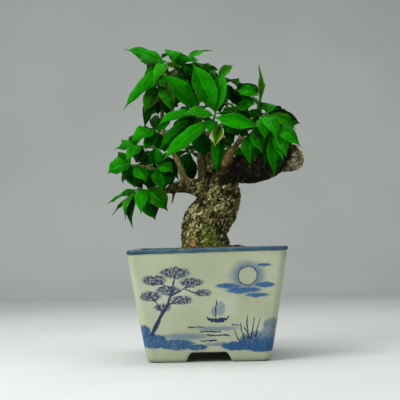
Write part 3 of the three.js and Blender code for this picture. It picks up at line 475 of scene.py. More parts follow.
FOLD = 0.28  # how far a blade's halves rise from the midrib, as a share of the half width
SWINGS = [0, -3, 3, -6, 6, -9, 9, -12, 12, -15, 15, -18, 18]  # how much nearer or farther a leaf may hang
ARCHES = [0, 0.07, -0.07]  # what may be added to its arch
CLEAR_OF_LEAF, CLEAR_OF_OWN_LEAF, CLEAR_OF_WOOD = 2.3, 1.5, 1.3
ROOT_ROOM, ROOT_SHARE = 3.2, 0.2  # near its root a leaf may touch its own stem and its neighbours
PLANNED_FROM, SPARE_FROM = 0.38, 0.35  # where on the green stem the first leaf stands
SPARE_LENGTH, SPARE_WIDTH = (21, 5), (8.5, 1.5)  # each a middle value and how far it strays
SHARES = (np.arange(1, 16) / 15)[:, None, None]  # where along a blade its room is measured
SIDES = np.array([-1, -0.5, 0, 0.5, 1])[None, :, None]  # and where across it
SKY = np.array([(-0.4, -0.7, 0.6), (0, -0.9, 0.2), (0.2, -0.4, 0.9), (-0.8, -0.3, 0.5)])  # the light's ways
SHADE_WIDTH, SHADE_FROM = 8, 2.5  # how far beside a leaf, and from how far before it, another shades it


def blade_samples(leaf):
    """Points over a leaf's blade."""
    middle, side = blade_frame(leaf)
    root, tip, u = leaf["root"], leaf["tip"], SHARES
    centre = root * (1 - u) ** 2 + middle * 2 * u * (1 - u) + tip * u * u
    tangent = (middle - root) * (1 - u) + (tip - middle) * u
    normal = np.cross(side, tangent / np.linalg.norm(tangent, axis=2, keepdims=True))
    half = leaf["width"] / 2 * np.abs(np.sin(np.pi * u)) ** 0.95 * (1.03 - 0.1 * u * u)
    return (centre + side * half * SIDES + normal * half * np.abs(SIDES) * FOLD).reshape(-1, 3)


def planned_leaves():
    """The leaves that the plan gives, then behind each stem the spare ones that the rule sets out."""
    for stem, twig, stem_tip, tips in STEMS:
        base, end = seen(*twig[-1][:3]), seen(*stem_tip)
        for k, (x, z, depth, width, *bend) in enumerate(tips):
            turn, arch = bend or (0, 0.1)
            root = base + (end - base) * (PLANNED_FROM + (1 - PLANNED_FROM) * k / (len(tips) - 1))
            tips_at = [seen(x, z, depth + by) for by in SWINGS]
            yield {"stem": stem, "k": k, "root": root, "tips": tips_at, "width": width, "turn": turn,
                   "arch": arch, "face": np.array(FRONT_FACE), "spare": False}
    for number, (stem, twig, stem_tip, tips) in enumerate(STEMS):
        base, end = seen(*twig[-1][:3]), seen(*stem_tip)
        count = SPARE_LEAVES["back" if stem.startswith("back") else "front"]
        for k in range(count):
            root = base + (end - base) * (SPARE_FROM + (1 - SPARE_FROM) * k / (count - 1))
            angle = GOLDEN_ANGLE * k + 0.9 * number
            away = unit(np.array([root[0] - CROWN_AXIS[0], root[1] - CROWN_AXIS[1], 0]))
            way = unit(np.array([math.cos(angle), 0.75, 0.8 * math.sin(angle) - 0.15]) + 0.25 * away)
            length = SPARE_LENGTH[0] + SPARE_LENGTH[1] * math.sin(2.1 * k + number)
            width = SPARE_WIDTH[0] + SPARE_WIDTH[1] * math.sin(1.3 * k + 2 * number)
            tips_at = [root + way * length + np.array([0, by, 0]) for by in SWINGS]
            yield {"stem": stem, "k": -1 - k, "root": root, "tips": tips_at, "width": width,
                   "turn": 12 * math.sin(3 * k), "arch": 0.12, "face": np.array([0.3 * way[0], 0.35, 0.9]),
                   "spare": True}


def wood_samples():
    """Points along all the wood and the green stems, with the number of the stem that each belongs to."""
    paths = [(path, -1) for path in WOOD.values()]
    for number, (_, twig, stem_tip, _) in enumerate(STEMS):
        green = [[*twig[-1][:3], GREEN_RADIUS], [*stem_tip, GREEN_RADIUS]]
        paths += [(twig, number), (green, number)]
    runs = [smooth_path(path, WOOD_STEP) for path, _ in paths]
    owners = np.concatenate([np.full(len(run), owner) for run, (_, owner) in zip(runs, paths)])
    return np.concatenate(runs), owners


def placed_leaves():
    """Each leaf is swung nearer or farther until nothing placed before it is in the way."""
    numbers = {stem[0]: number for number, stem in enumerate(STEMS)}
    wood, wood_owner = wood_samples()
    share = np.repeat(SHARES[:, 0, 0], SIDES.size)
    points, owner, points_share = np.empty((0, 3)), np.empty(0, int), np.empty(0)

    def gaps(a, b):
        return np.sqrt(((a[:, None] - b[None]) ** 2).sum(2))

    def room_of(leaf, mine):
        room, number = math.inf, numbers[leaf["stem"]]
        low, high = mine.min(0), mine.max(0)
        near = ((points >= low - CLEAR_OF_LEAF) & (points <= high + CLEAR_OF_LEAF)).all(1)
        others = points[near & (owner != number)]
        own = points[near & (owner == number) & (points_share >= ROOT_SHARE)]
        if len(others):
            room = min(room, gaps(mine, others).min() - CLEAR_OF_LEAF)
        if len(own):
            room = min(room, gaps(mine[share >= ROOT_SHARE], own).min() - CLEAR_OF_OWN_LEAF)
        reach = wood[:, 3:] + CLEAR_OF_WOOD
        near = ((wood[:, :3] >= low - reach) & (wood[:, :3] <= high + reach)).all(1)
        near &= ~((wood_owner == number) & (np.linalg.norm(wood[:, :3] - leaf["root"], axis=1) < ROOT_ROOM))
        if near.any():
            room = min(room, (gaps(mine, wood[near, :3]) - wood[near, 3]).min() - CLEAR_OF_WOOD)
        return room

    placed = []
    for leaf in planned_leaves():
        best = None
        for tip in leaf["tips"]:
            for more in ARCHES:
                tried = dict(leaf, tip=tip, arch=leaf["arch"] + more)
                mine = blade_samples(tried)
                room = room_of(tried, mine)
                if best is None or room > best["room"]:
                    best = dict(tried, points=mine, room=room)
                if room >= 0:
                    break
            if best["room"] >= 0:
                break
        if best["room"] >= 0 or not leaf["spare"]:
            placed.append(best)
            points = np.concatenate([points, best["points"]])
            owner = np.concatenate([owner, np.full(share.size, numbers[leaf["stem"]])])
            points_share = np.concatenate([points_share, share])
    # Painted shade: each leaf is darker the more leaves lie before it towards the light
    middles = np.array([leaf["points"].mean(0) for leaf in placed])
    for leaf, here in zip(placed, middles):
        leaf["shade"] = 0
        for way in SKY:
            before = (middles - here) @ unit(way)
            beside = np.linalg.norm(middles - here - before[:, None] * unit(way), axis=1)
            shading = np.exp(-(beside / SHADE_WIDTH) ** 2) * (before > SHADE_FROM)
            leaf["shade"] += shading.sum() / len(SKY)
    return placed


# Pot
BELLY = 0.1  # how much the pot's sides bulge, as a share of what they widen
# Columns nearer to a side's middle than this keep their places, those beyond it spread to the side's end
MIDDLE, SIDE_END = 20, 30
CORNER_STEPS = 8
SINKS_FROM = 0.6  # the share of the height above which the rim's dip is felt
FEET_TOP = 12  # below this the rings bend with the feet and the arches
SIDE_RINGS = [71.5, 68, 64, 59, 54, 49, 44, 39, 34, 29, 24, 19.5, 15.5, FEET_TOP]


def outer_width(z, shape):
    share = z / shape.height
    return shape.foot_width + (shape.rim_width - shape.foot_width) * (share + BELLY * share * (1 - share))


def arch_height(x, shape):
    """Height of the pot's lower edge at x: the feet rest on the ground, the arches between them don't."""
    base, top, foot, corner, lean = shape.base, shape.arch_top / 2, shape.arch_bottom / 2, 2.4, 0.6
    x = np.abs(x)
    bend = base - corner * np.clip((x - top + corner) / (corner + lean), 0, 1) ** 2.2
    slope = (base - corner) * np.clip(1 - (x - top - lean) / (foot - top - lean - 0.35), 0, 1)
    return np.where(x < top + lean, bend, slope)


def pot_columns():
    """The columns of the pot's skin: their sides, their places along them, and their bends in the corners."""
    near = [0, 3, 6, 8.5, 10.4, 11.2, 12, 12.8, 13.4, 13.9, 14.4, 14.9, 15.4, 15.9, 16.5, 17.5, 19]
    near += [21, 23, 25, 27.5]
    along = [(x, 0) for x in [-SIDE_END, *[-x for x in near[:0:-1]], *near, SIDE_END]]
    along += [(SIDE_END, k / CORNER_STEPS) for k in range(1, CORNER_STEPS)]
    return np.array([(side, *column) for side in range(4) for column in along], float).T


def pot_ring(half, corner, columns):
    """The outline of a square with round corners, and how far along the four sides each of its points is."""
    side, place, bend = columns
    half = np.broadcast_to(half, side.shape)
    flat = half - corner
    far = np.maximum(0, np.abs(place) - MIDDLE) / (SIDE_END - MIDDLE)
    angle = (bend - 1) * math.pi / 2
    x = np.sign(place) * (np.minimum(np.abs(place), MIDDLE) + far * (flat - MIDDLE))
    run = side + np.where(bend > 0, 0.5 + flat / half / 2 + bend * (1 - flat / half), 0.5 + x / half / 2)
    y = np.where(bend > 0, corner * np.sin(angle) - flat, -half)
    x = np.where(bend > 0, flat + corner * np.cos(angle), x)
    for turn in (1, 2, 3):
        x, y = np.where(side >= turn, -y, x), np.where(side >= turn, x, y)
    return np.stack([x, y], 1), run


def pot_mesh(shape):
    """One closed skin: down the outside, under the feet, up through the drain and up the inside."""
    columns = pot_columns()
    lower = np.where(columns[2] > 0, 0, arch_height(columns[1], shape))
    foot = 1 - lower / shape.base  # 1 on the feet, 0 in the arches
    height, rim, wall, corner, base = shape.height, shape.rim_width / 2, shape.wall, shape.corner, shape.base
    drain, floor = shape.drain_radius, shape.floor_top
    lip_foot = height - shape.lip_height
    rings = []

    def ring(half, corner, z, circle=(1, 0)):
        flat, run = pot_ring(half, corner, columns)
        angle = np.arctan2(flat[:, 1], flat[:, 0])
        flat = flat * (1 - circle[1]) + np.stack([np.cos(angle), np.sin(angle)], 1) * circle[0] * circle[1]
        z = np.broadcast_to(z, len(flat))
        sag = np.clip((0.5 - flat[:, 0] / rim / 2) * (0.5 - flat[:, 1] / rim / 2), 0, 2) ** 1.5
        sunk = z - shape.dip * sag * np.maximum(0, z / height - SINKS_FROM) / (1 - SINKS_FROM)
        rings.append((np.column_stack([flat, sunk]), run, z / height))

    for half, z in [(rim - 2, height + 0.12), (rim - 0.75, height), (rim - 0.22, height - 0.22),
                    (rim, height - 0.75), (rim, height - 1.5), (rim, lip_foot + 0.9),
                    (rim - 0.02, lip_foot + 0.55), (rim - 0.2, lip_foot + 0.2)]:
        ring(half, corner, z)
    for z, inset in [(lip_foot - 0.1, 0.5), (lip_foot - 0.8, 0.42)]:
        ring(outer_width(z, shape) / 2 - inset, corner, z)
    for z in SIDE_RINGS:
        ring(outer_width(z, shape) / 2, corner, z)
    edge = 0.9 + 2.6 * foot  # the rounding of the lower edge, wider under the feet
    for share in [0.72, 0.46, 0.22, 0]:
        z = lower + edge + (FEET_TOP - lower - edge) * share
        ring(outer_width(z, shape) / 2, corner, z)
    for angle in np.radians([22.5, 45, 67.5, 90]):
        z = lower + edge * (1 - math.sin(angle))
        ring(outer_width(z, shape) / 2 - edge * (1 - math.cos(angle)), corner, z)
    under = len(rings)
    inner = shape.foot_width / 2 - shape.foot_wall
    for half, rounding, z in [(inner + 1.2, corner - 1, lower),
                              (inner + 0.3, corner - 1.6, lower + 0.35 * foot),
                              (inner, corner - 2, lower + 1.2 * foot),
                              (inner - 0.2, corner - 2, lower + (base - lower) * 0.7),
                              (inner - 1, corner - 2, base)]:
        ring(half, rounding, z)
    ring(inner - 6, corner, base, (drain + 20, 0.35))
    ring(inner - 14, corner, base, (drain + 8, 0.8))
    for radius, z in [(drain + 1.2, base), (drain + 0.3, base + 0.3), (drain, base + 1), (drain, floor - 1),
                      (drain + 0.3, floor - 0.3), (drain + 1.2, floor)]:
        ring(inner, corner - 2, z, (radius, 1))
    ring(inner - 14, corner, floor, (drain + 8, 0.8))
    inside = outer_width(floor, shape) / 2 - wall
    ring(inside - 4, corner - 2, floor)
    ring(inside - 1, corner - 2, floor + 0.6)
    bare = range(under, len(rings))  # the rings under the pot, in its drain and on its floor hold no picture
    for z in [16, 30, 45, 60, 70]:
        ring(outer_width(z, shape) / 2 - wall, corner - 2, z)
    for inset, z in [(0, height - 0.9), (0.25, height - 0.3), (0.9, height)]:
        ring(rim - wall + inset, corner - 1.5, z)
    count, total = columns.shape[1], len(rings)
    faces, panel = [], []
    for r in range(total):
        for c in range(count):
            n, d = (r + 1) % total, (c + 1) % count
            corners = [(r, c), (n, c), (n, d), (r, d)]
            faces.append([i * count + j for i, j in corners])
            for i, j in corners:
                run, up = rings[i][1][j] + 4 * (j < c), rings[i][2][j]
                panel.append((run / 4, 0 if i in bare else up))
    return np.concatenate([ring[0] for ring in rings]), faces, panel


FOOT_PANEL, PANEL_SPREAD = 85, 25  # a picture's width at the ground, and how much more it is at the rim


def paint_pot(g, look, here):
    """Pale celadon glaze, a blue rim band, and in blue a pine, a boat, reeds, the moon and clouds."""
    run, up, _ = g.add("ShaderNodeUVMap", {"uv_map": "panel"}).parts()
    side = (run * 4).floor()
    off_middle = run * 4 - side - 0.5
    mirrored = (side * 0.5).fract() * 4 - 1  # -1 on the front and the back, 1 on the other two
    x = off_middle * (FOOT_PANEL + PANEL_SPREAD * up) * -mirrored
    shake = g.noise(here, 0.22, 2, output="Color")
    shake_fine = g.noise(here, 0.9, 2, output="Color")
    spot = g.add("ShaderNodeCombineXYZ", {}, {"X": x, "Y": up * look.height})
    spot = (spot + (shake - 0.5) * 2.4 + (shake_fine - 0.5) * 0.9) * (1, 1, 0)
    z = spot.parts()[1]
    grain = g.noise(here, 0.55, 3)
    fine = g.noise(here, 1.7, 2)

    def stroke(x1, z1, x2, z2, wide, end_wide=None):
        a, way = (x1, z1, 0), (x2 - x1, z2 - z1, 0)
        long = way[0] ** 2 + way[1] ** 2
        off = spot - a
        t = (off.dot(way) / long).most(0).least(1)
        gap = (off - t * way).length()
        half = wide / 2 + t * ((wide if end_wide is None else end_wide) - wide) / 2
        return ((half - gap) / 0.35 + 0.5).most(0).least(1)

    def blob(cx, cz, rx, rz, soft=0.35):
        away = ((spot - (cx, cz, 0)) / (rx, rz, 1)).length()
        return away.rise(1, 1 - soft)

    def all_of(mask, *places):
        total = mask(*places[0])
        for place in places[1:]:
            total = total.most(mask(*place))
        return total

    pads = [(-36, 57, 10, 4.4, 0.4), (-22, 62, 12, 4.8, 0.4), (-27, 50, 10, 4, 0.4), (-11, 55, 9.5, 4, 0.4),
            (-39, 46, 9, 4, 0.4), (-18, 43, 9, 3.6, 0.4), (-3, 47.5, 7, 3, 0.4), (-31, 38, 7, 3.2, 0.4)]
    needles = (g.noise(spot * (1, 0.6, 1), 1.05, 2) + (fine - 0.5) * 0.5).rise(0.42, 0.55)
    pine = all_of(blob, *pads) * (0.25 + 0.75 * needles)
    limbs = all_of(stroke, (-38, 20, -33, 31, 3, 2.4), (-33, 31, -27, 40, 2.4, 2), (-27, 40, -24, 50, 2, 1.4),
                   (-24, 50, -22, 59, 1.4, 0.8), (-31, 35, -37, 45, 1.2, 0.7), (-27, 40, -18, 42.5, 1.2, 0.7),
                   (-25, 46, -12, 53, 1.2, 0.7), (-24, 51, -34, 56, 1, 0.6), (-15, 50, -4, 46.5, 0.9, 0.5))
    rocks = all_of(blob, (-38, 15, 12, 6), (-22, 12.5, 15, 4.4), (-44, 21, 6, 6), (-8, 10.5, 9, 2.4))
    bank = all_of(blob, (36, 14, 17, 8, 0.2), (44, 21, 9, 10, 0.25), (20, 11, 14, 3.6, 0.3))
    reeds = all_of(stroke, (24, 14, 21.5, 27, 1, 0.5), (26.5, 15, 26, 32, 1, 0.5), (29, 16, 31, 30, 1, 0.5),
                   (31.5, 17, 35, 29.5, 1, 0.5), (21.5, 13, 17, 22, 0.9, 0.5), (28, 16, 24, 24, 0.9, 0.5))
    boat = all_of(stroke, (0, 29.4, 12, 29.4, 1.5), (0, 29.4, -1.6, 31.2, 1.2, 0.6),
                  (12, 29.4, 14, 31.6, 1.2, 0.6), (2, 28.2, 10, 28.2, 1.2), (5, 29, 5.6, 43, 0.8, 0.6))
    sail = all_of(blob, (8.4, 36.8, 3.6, 5.8, 0.3), (3.8, 35, 1.9, 4.2, 0.3))
    water = all_of(stroke, (-6, 21, 8, 21, 0.9), (-1, 18.4, 14, 18.4, 1), (-14, 24.4, -3, 24.4, 0.8),
                   (-5, 15, 5, 15, 0.9), (16, 25.4, 20, 25.4, 0.8))
    moon_place = 27, 59
    moon = blob(*moon_place, 7, 7, 0.1)
    halo = blob(*moon_place, 15, 13, 0.6) * (1 - moon)
    clouds = all_of(blob, (14, 52, 11, 2.4, 0.45), (24, 49, 15, 2.8, 0.45), (38, 52.5, 9, 2.4, 0.45),
                    (33, 45.5, 10, 1.8, 0.5), (38, 66, 7, 1.6, 0.5))
    shallows = all_of(blob, (-16, 18, 24, 3.4, 0.7), (6, 23, 20, 2.4, 0.7), (8, 12.4, 16, 2, 0.6))
    wash = (halo * 0.75).most(clouds).most(rocks * (0.6 + grain * 0.8)).most(sail * 0.5)
    wash = wash.most(bank * (0.55 + z.rise(22, 8) * 0.7)).most(shallows * 0.6)
    wash = wash * (0.6 + grain * 0.8)
    ink = pine.most(limbs).most(reeds).most(boat).most(water * 0.8)
    ink = ink.most(moon * (1 - blob(*moon_place, 6.2, 6.2, 0.1)) * 0.8)
    ink = ink.most((rocks + bank).least(1) * fine.rise(0.52, 0.64) * 0.85)
    wall = z.rise(look.height - 3.4, look.height - 4.4) * up.rise(0.02, 0.06)  # where the picture may be
    tone = g.noise(here, 0.035, 3)
    glaze = g.mix(tone.rise(0.3, 0.7), look.glaze, look.glaze_pale)
    glaze = g.mix(g.noise(here, 0.6, 4).rise(0.55, 0.8) * 0.25, glaze, look.glaze_dark)
    white = all_of(blob, (12, 38, 14, 10, 0.8), (-26, 48, 20, 16, 0.6), (36, 22, 12, 10, 0.8))
    glaze = g.mix(white * grain * 0.5 * wall, glaze, look.glaze_white)
    colour = g.mix((wash * wall).least(1), glaze, look.wash)
    colour = g.mix((ink * wall * (1 + grain * 0.6)).least(0.97), colour, look.ink)
    over_rim = up * look.height + (shake.parts()[0] - 0.5) * 0.9 - look.height
    band = over_rim.rise(-3.3, -2.7) * (0.75 + 0.5 * g.noise(here, 0.12, 2))
    corner = abs(off_middle).rise(0.36, 0.5)
    colour = g.mix(band.least(1), colour, g.mix(corner * 0.8, look.band, look.ink))
    rubbed = z.rise(3.2, 0.6) * g.noise(here, 0.5, 3).rise(0.4, 0.65)
    colour = g.mix(rubbed * 0.55, colour, look.foot)
    dimples = g.noise(here, 0.12, 2) + g.noise(here, 1.2, 2) * 0.06
    pits = g.cells(here, 0.33).rise(0.0, 0.16)
    height = dimples + (1 - pits) * -0.12
    rough = 0.16 + grain * 0.12 + rubbed * 0.35
    return {"Base Color": colour, "Roughness": rough, "Normal": g.bump(height, 0.5, 0.5)}


# Soil
CRUMB_ROOM = 0.9  # how far the ground lies under the outer form, for the crumbs on it
HEAP_TOP, HEAP_FLAT, HEAP_FALL = 79.2, 24, 5.6  # the heap is level to this radius, then falls to the rim
LEFT_FALL = 1.4  # how much lower it lies on the left
HEAP_MIDDLE, SOIL_FOOT = 79.4, 13.2
SOIL_RINGS, STEPS_TO_MIDDLE = (SOIL_FOOT, 13.6, 40, 60, 72), 34


def soil_height(x, y, shape):
    away = np.maximum(0, np.hypot(x, y) - HEAP_FLAT) / (shape.rim_width / 2 - HEAP_FLAT)
    left = np.clip((-x - 8) / 16, 0, 1) * (1 - np.minimum(1, away))
    heap = HEAP_TOP - CRUMB_ROOM - HEAP_FALL * np.minimum(1, away) ** 0.8 - LEFT_FALL * left
    return heap + 0.35 * np.sin(0.31 * x + 1.1) * np.cos(0.27 * y) + 0.2 * np.sin(0.73 * x - 0.61 * y)


def soil_mesh(shape):
    """The filling of the pot, with a heaped top; it goes right under the trunk."""
    columns = pot_columns()
    foot, rim = outer_width(shape.floor_top, shape) / 2 - shape.wall, shape.rim_width / 2 - shape.wall

    def outline(z):
        half = foot + (rim - foot) * (z - shape.floor_top) / (shape.height - 0.7 - shape.floor_top) - 0.3
        return pot_ring(half, shape.corner - 2, columns)[0]

    count = columns.shape[1]
    rings = [np.column_stack([outline(z), np.full(count, z)]) for z in SOIL_RINGS]
    rim_line = rings[-1][:, :2]
    for share in np.linspace(0.99, 0.02, STEPS_TO_MIDDLE):
        size = np.hypot(*rim_line.T)
        round_off = np.minimum(1, (1 - share) * 1.6) * (1 - shape.rim_width * 0.45 / size)
        flat = rim_line * share * (1 - round_off)[:, None]
        rings.append(np.column_stack([flat, soil_height(*flat.T, shape)]))
    points = np.concatenate([*rings, [[0, 0, HEAP_MIDDLE], [0, 0, SOIL_FOOT]]])
    faces, last = [], (len(rings) - 1) * count
    around = [(c, (c + 1) % count) for c in range(count)]
    for low in range(0, last, count):
        faces += [[low + c, low + d, low + count + d, low + count + c] for c, d in around]
    faces += [[last + c, last + d, len(points) - 2] for c, d in around]
    faces += [[d, c, len(points) - 1] for c, d in around]
    return points, faces


CRUMB, TUFT = 1.5 * MM, 1 * MM
TRUNK_FOOT = 12  # no crumb lies nearer to the middle of the pot


def build_soil(g, given):
    """Crumbs over the top of the soil, then cushions of moss."""
    ground = given["Geometry"]
    body = g.geo("SetShadeSmooth", Geometry=ground)
    place = g.place()
    x, y, z = place.parts()
    facing = g.geo("InputNormal", output="Normal").parts()[2]
    from_trunk = (place * (1, 1, 0)).length()
    top = z.rise(72.5, 73) * (facing > 0.4) * (from_trunk > TRUNK_FOOT)

    def scatter(where, density, seed, shape, size, turn):
        points = g.geo("DistributePointsOnFaces", {"distribute_method": "RANDOM"},
                       Mesh=ground, Selection=where, Density=density, Seed=seed)
        turned = g.chance("FLOAT_VECTOR", seed, Min=(-turn, -turn, -3.2), Max=(turn, turn, 3.2))
        sized = g.chance("FLOAT_VECTOR", seed, Min=(size * 0.5, size * 0.5, size * 0.4),
                         Max=(size * 1.25, size * 1.25, size))
        turned = g.add("FunctionNodeEulerToRotation", {}, {0: turned})
        kept = g.geo("InstanceOnPoints", Points=points, Instance=shape, Rotation=turned, Scale=sized)
        kept = g.store(kept, "INSTANCE", tone=g.chance("FLOAT", seed + 9))
        return g.geo("RealizeInstances", Geometry=kept)

    crumb = g.geo("MeshIcoSphere", Radius=1.0, Subdivisions=2)
    bumpy = g.noise(g.geo("InputPosition") * 1.3, 1.4, 1, output="Color") - 0.5
    crumb = g.geo("SetPosition", Geometry=crumb, Offset=bumpy * 0.7)
    crumbs = scatter(top, given["Crumbs"], 4, crumb, CRUMB, 3.2)
    tuft = g.geo("MeshCone", Vertices=5, Radius_Bottom=0.5, Depth=2.2)
    tuft = g.geo("SetPosition", Geometry=tuft, Offset=(0, 0, -0.5))
    damp = g.noise(place, 0.055, 2).rise(0.5, 0.58) + from_trunk.rise(21, 17)
    damp = damp + x.rise(20, 30) * y.rise(-30, -40)
    moss = scatter(top * (damp > 0.5), given["Moss"], 7, tuft, TUFT, 0.5)
    crumbs = g.geo("JoinGeometry", Geometry=[g.store(body, tone=0.3), crumbs])
    crumbs = g.geo("SetMaterial", Geometry=crumbs, Material=given["Earth"])
    moss = g.geo("SetMaterial", Geometry=moss, Material=given["Moss look"])
    return g.geo("JoinGeometry", Geometry=[crumbs, moss])


def paint_earth(g, look, here):
    tone = g.attribute("tone")
    colour = g.mix(tone, look.earth_dark, look.earth)
    colour = g.mix(tone.rise(0.86, 0.9) * 0.6, colour, look.grit)
    colour = g.mix(g.noise(here, 0.08, 3).rise(0.5, 0.65) * 0.5, colour, look.moss)
    rough = 0.8 + g.noise(here, 0.9) * 0.2
    height = g.noise(here, 1.6, 4) + g.cells(here, 1.3) * 0.4
    return {"Base Color": colour, "Roughness": rough, "Normal": g.bump(height, 0.5, 0.9)}


def paint_moss(g, look, here):
    tone = g.attribute("tone")
    colour = g.mix(tone, look.moss, look.moss_pale)
    colour = g.mix(g.noise(here, 0.2, 2).rise(0.4, 0.7) * 0.4, colour, look.earth)
    rough = 0.85 + tone * 0.1
    return {"Base Color": colour, "Roughness": rough, "Normal": g.bump(g.noise(here, 2, 3), 0.4, 0.8)}


# Wood
THICK_WOOD = ("trunk", "right_branch")
SHARING = 0.8  # over how many millimetres the values of two limbs run into each other
KNOT = (56.5, -13.5, 143)
SPOTS_AT_ONCE = 3000


def wood_lines():
    """Every path of the wood as points, edges, radii, how pale its bark is and how much painted shade darkens
    it.
    """
    points, edges, girth, pale, dark = [], [], [], [], []
    twigs = [(None, twig) for _, twig, _, _ in STEMS]
    for name, path in [*WOOD.items(), *twigs]:
        line = smooth_path(path, THICK_STEP if name in THICK_WOOD else WOOD_STEP)
        edges += [(len(points) + i, len(points) + i + 1) for i in range(len(line) - 1)]
        points += line[:, :3].tolist()
        girth += line[:, 3].tolist()
        pale += [PALE_WOOD.get(name, PALE_TWIG if name is None else 0)] * len(line)
        dark += [SHADED_WOOD.get(name, 0)] * len(line)
    return np.array(points), edges, *(np.array(row) for row in (girth, pale, dark))


def build_limbs(g, given):
    """Round tubes along the paths, each as thick as its path says."""
    return g.tubes(given["Geometry"], 20, g.attribute("girth") * MM)


def share_out(obj, points, girth, rows):
    """Gives the mesh the paths' values: each vertex takes most from the limb whose skin it is nearest to."""
    spots = np.empty(3 * len(obj.data.vertices), np.float32)
    obj.data.vertices.foreach_get("co", spots)
    spots = spots.reshape(-1, 3) / MM - POT_CENTRE
    found = []
    for part in np.array_split(spots, len(spots) // SPOTS_AT_ONCE + 1):
        gap = np.sqrt(((part[:, None] - points[None]) ** 2).sum(2)) - girth
        weight = np.exp((gap.min(1, keepdims=True) - gap) / SHARING)
        found.append(weight @ np.stack(list(rows.values()), 1) / weight.sum(1, keepdims=True))
    for name, values in zip(rows, np.concatenate(found).T):
        give(obj, name, values)


def plates(g, here):
    """The bark's plates, long on a slant: how deep in its plate a place lies, and the plate's own chance."""
    rows = here.dot((0.6, 0, 0.8)) * 0.55, here.dot((0, 1, 0)) * 0.9, here.dot((-0.8, 0, 0.6))
    lay = g.add("ShaderNodeCombineXYZ", {}, dict(enumerate(rows)))
    lay = lay + (g.noise(here, 0.2, 2, output="Color") - 0.5) * 6
    return g.cells(lay, 0.43, "DISTANCE_TO_EDGE"), g.cells(lay, 0.43, output="Color").parts()[0]


def build_bark(g, given):
    """Softens the joins of the limbs, then raises lumps and flakes of bark with furrows between them."""
    soft = g.geo("BlurAttribute", {"data_type": "FLOAT_VECTOR"},
                 Value=g.geo("InputPosition"), Iterations=given["Softening"])
    wood = g.geo("SetPosition", Geometry=given["Geometry"], Position=soft)
    here = g.place()
    girth, pale = g.attributes("girth", "pale")
    bent = here * (1, 1, 0.75) + (g.noise(here, 0.13, 2, output="Color") - 0.5) * 9
    inside, chance = plates(g, here)
    plate = inside.rise(0.0, 0.24)
    lump = 1 - g.cells(bent, 0.2).rise(0.1, 0.75)
    furrow = abs(g.noise(here * (1, 1, 0.6) + bent * 0.4, 0.2, 3) - 0.5).rise(0.0, 0.06)
    small = g.noise(here, 0.75, 2).rise(0.35, 0.65)
    height = plate * (0.22 + chance * 0.24) + lump * 0.2 + furrow * 0.2 + small * 0.2
    lumps = g.noise(here, 0.07, 2) - 0.5
    depth = given["Bark depth"] * (girth / 15).least(1) * (1 - pale * 0.8)
    rise = (height - 0.62) * depth + lumps * girth * 0.1
    knot = ((here - KNOT) * (1, 0.8, 1)).length().rise(4.6, 1.4) * -2.6
    normal = g.geo("InputNormal", output="Normal")
    wood = g.geo("SetPosition", Geometry=wood, Offset=normal * ((rise + knot) * MM))
    wood = g.geo("SetShadeSmooth", Geometry=g.store(wood, bark=height, furrow=furrow))
    return g.geo("SetMaterial", Geometry=wood, Material=given["Bark"])


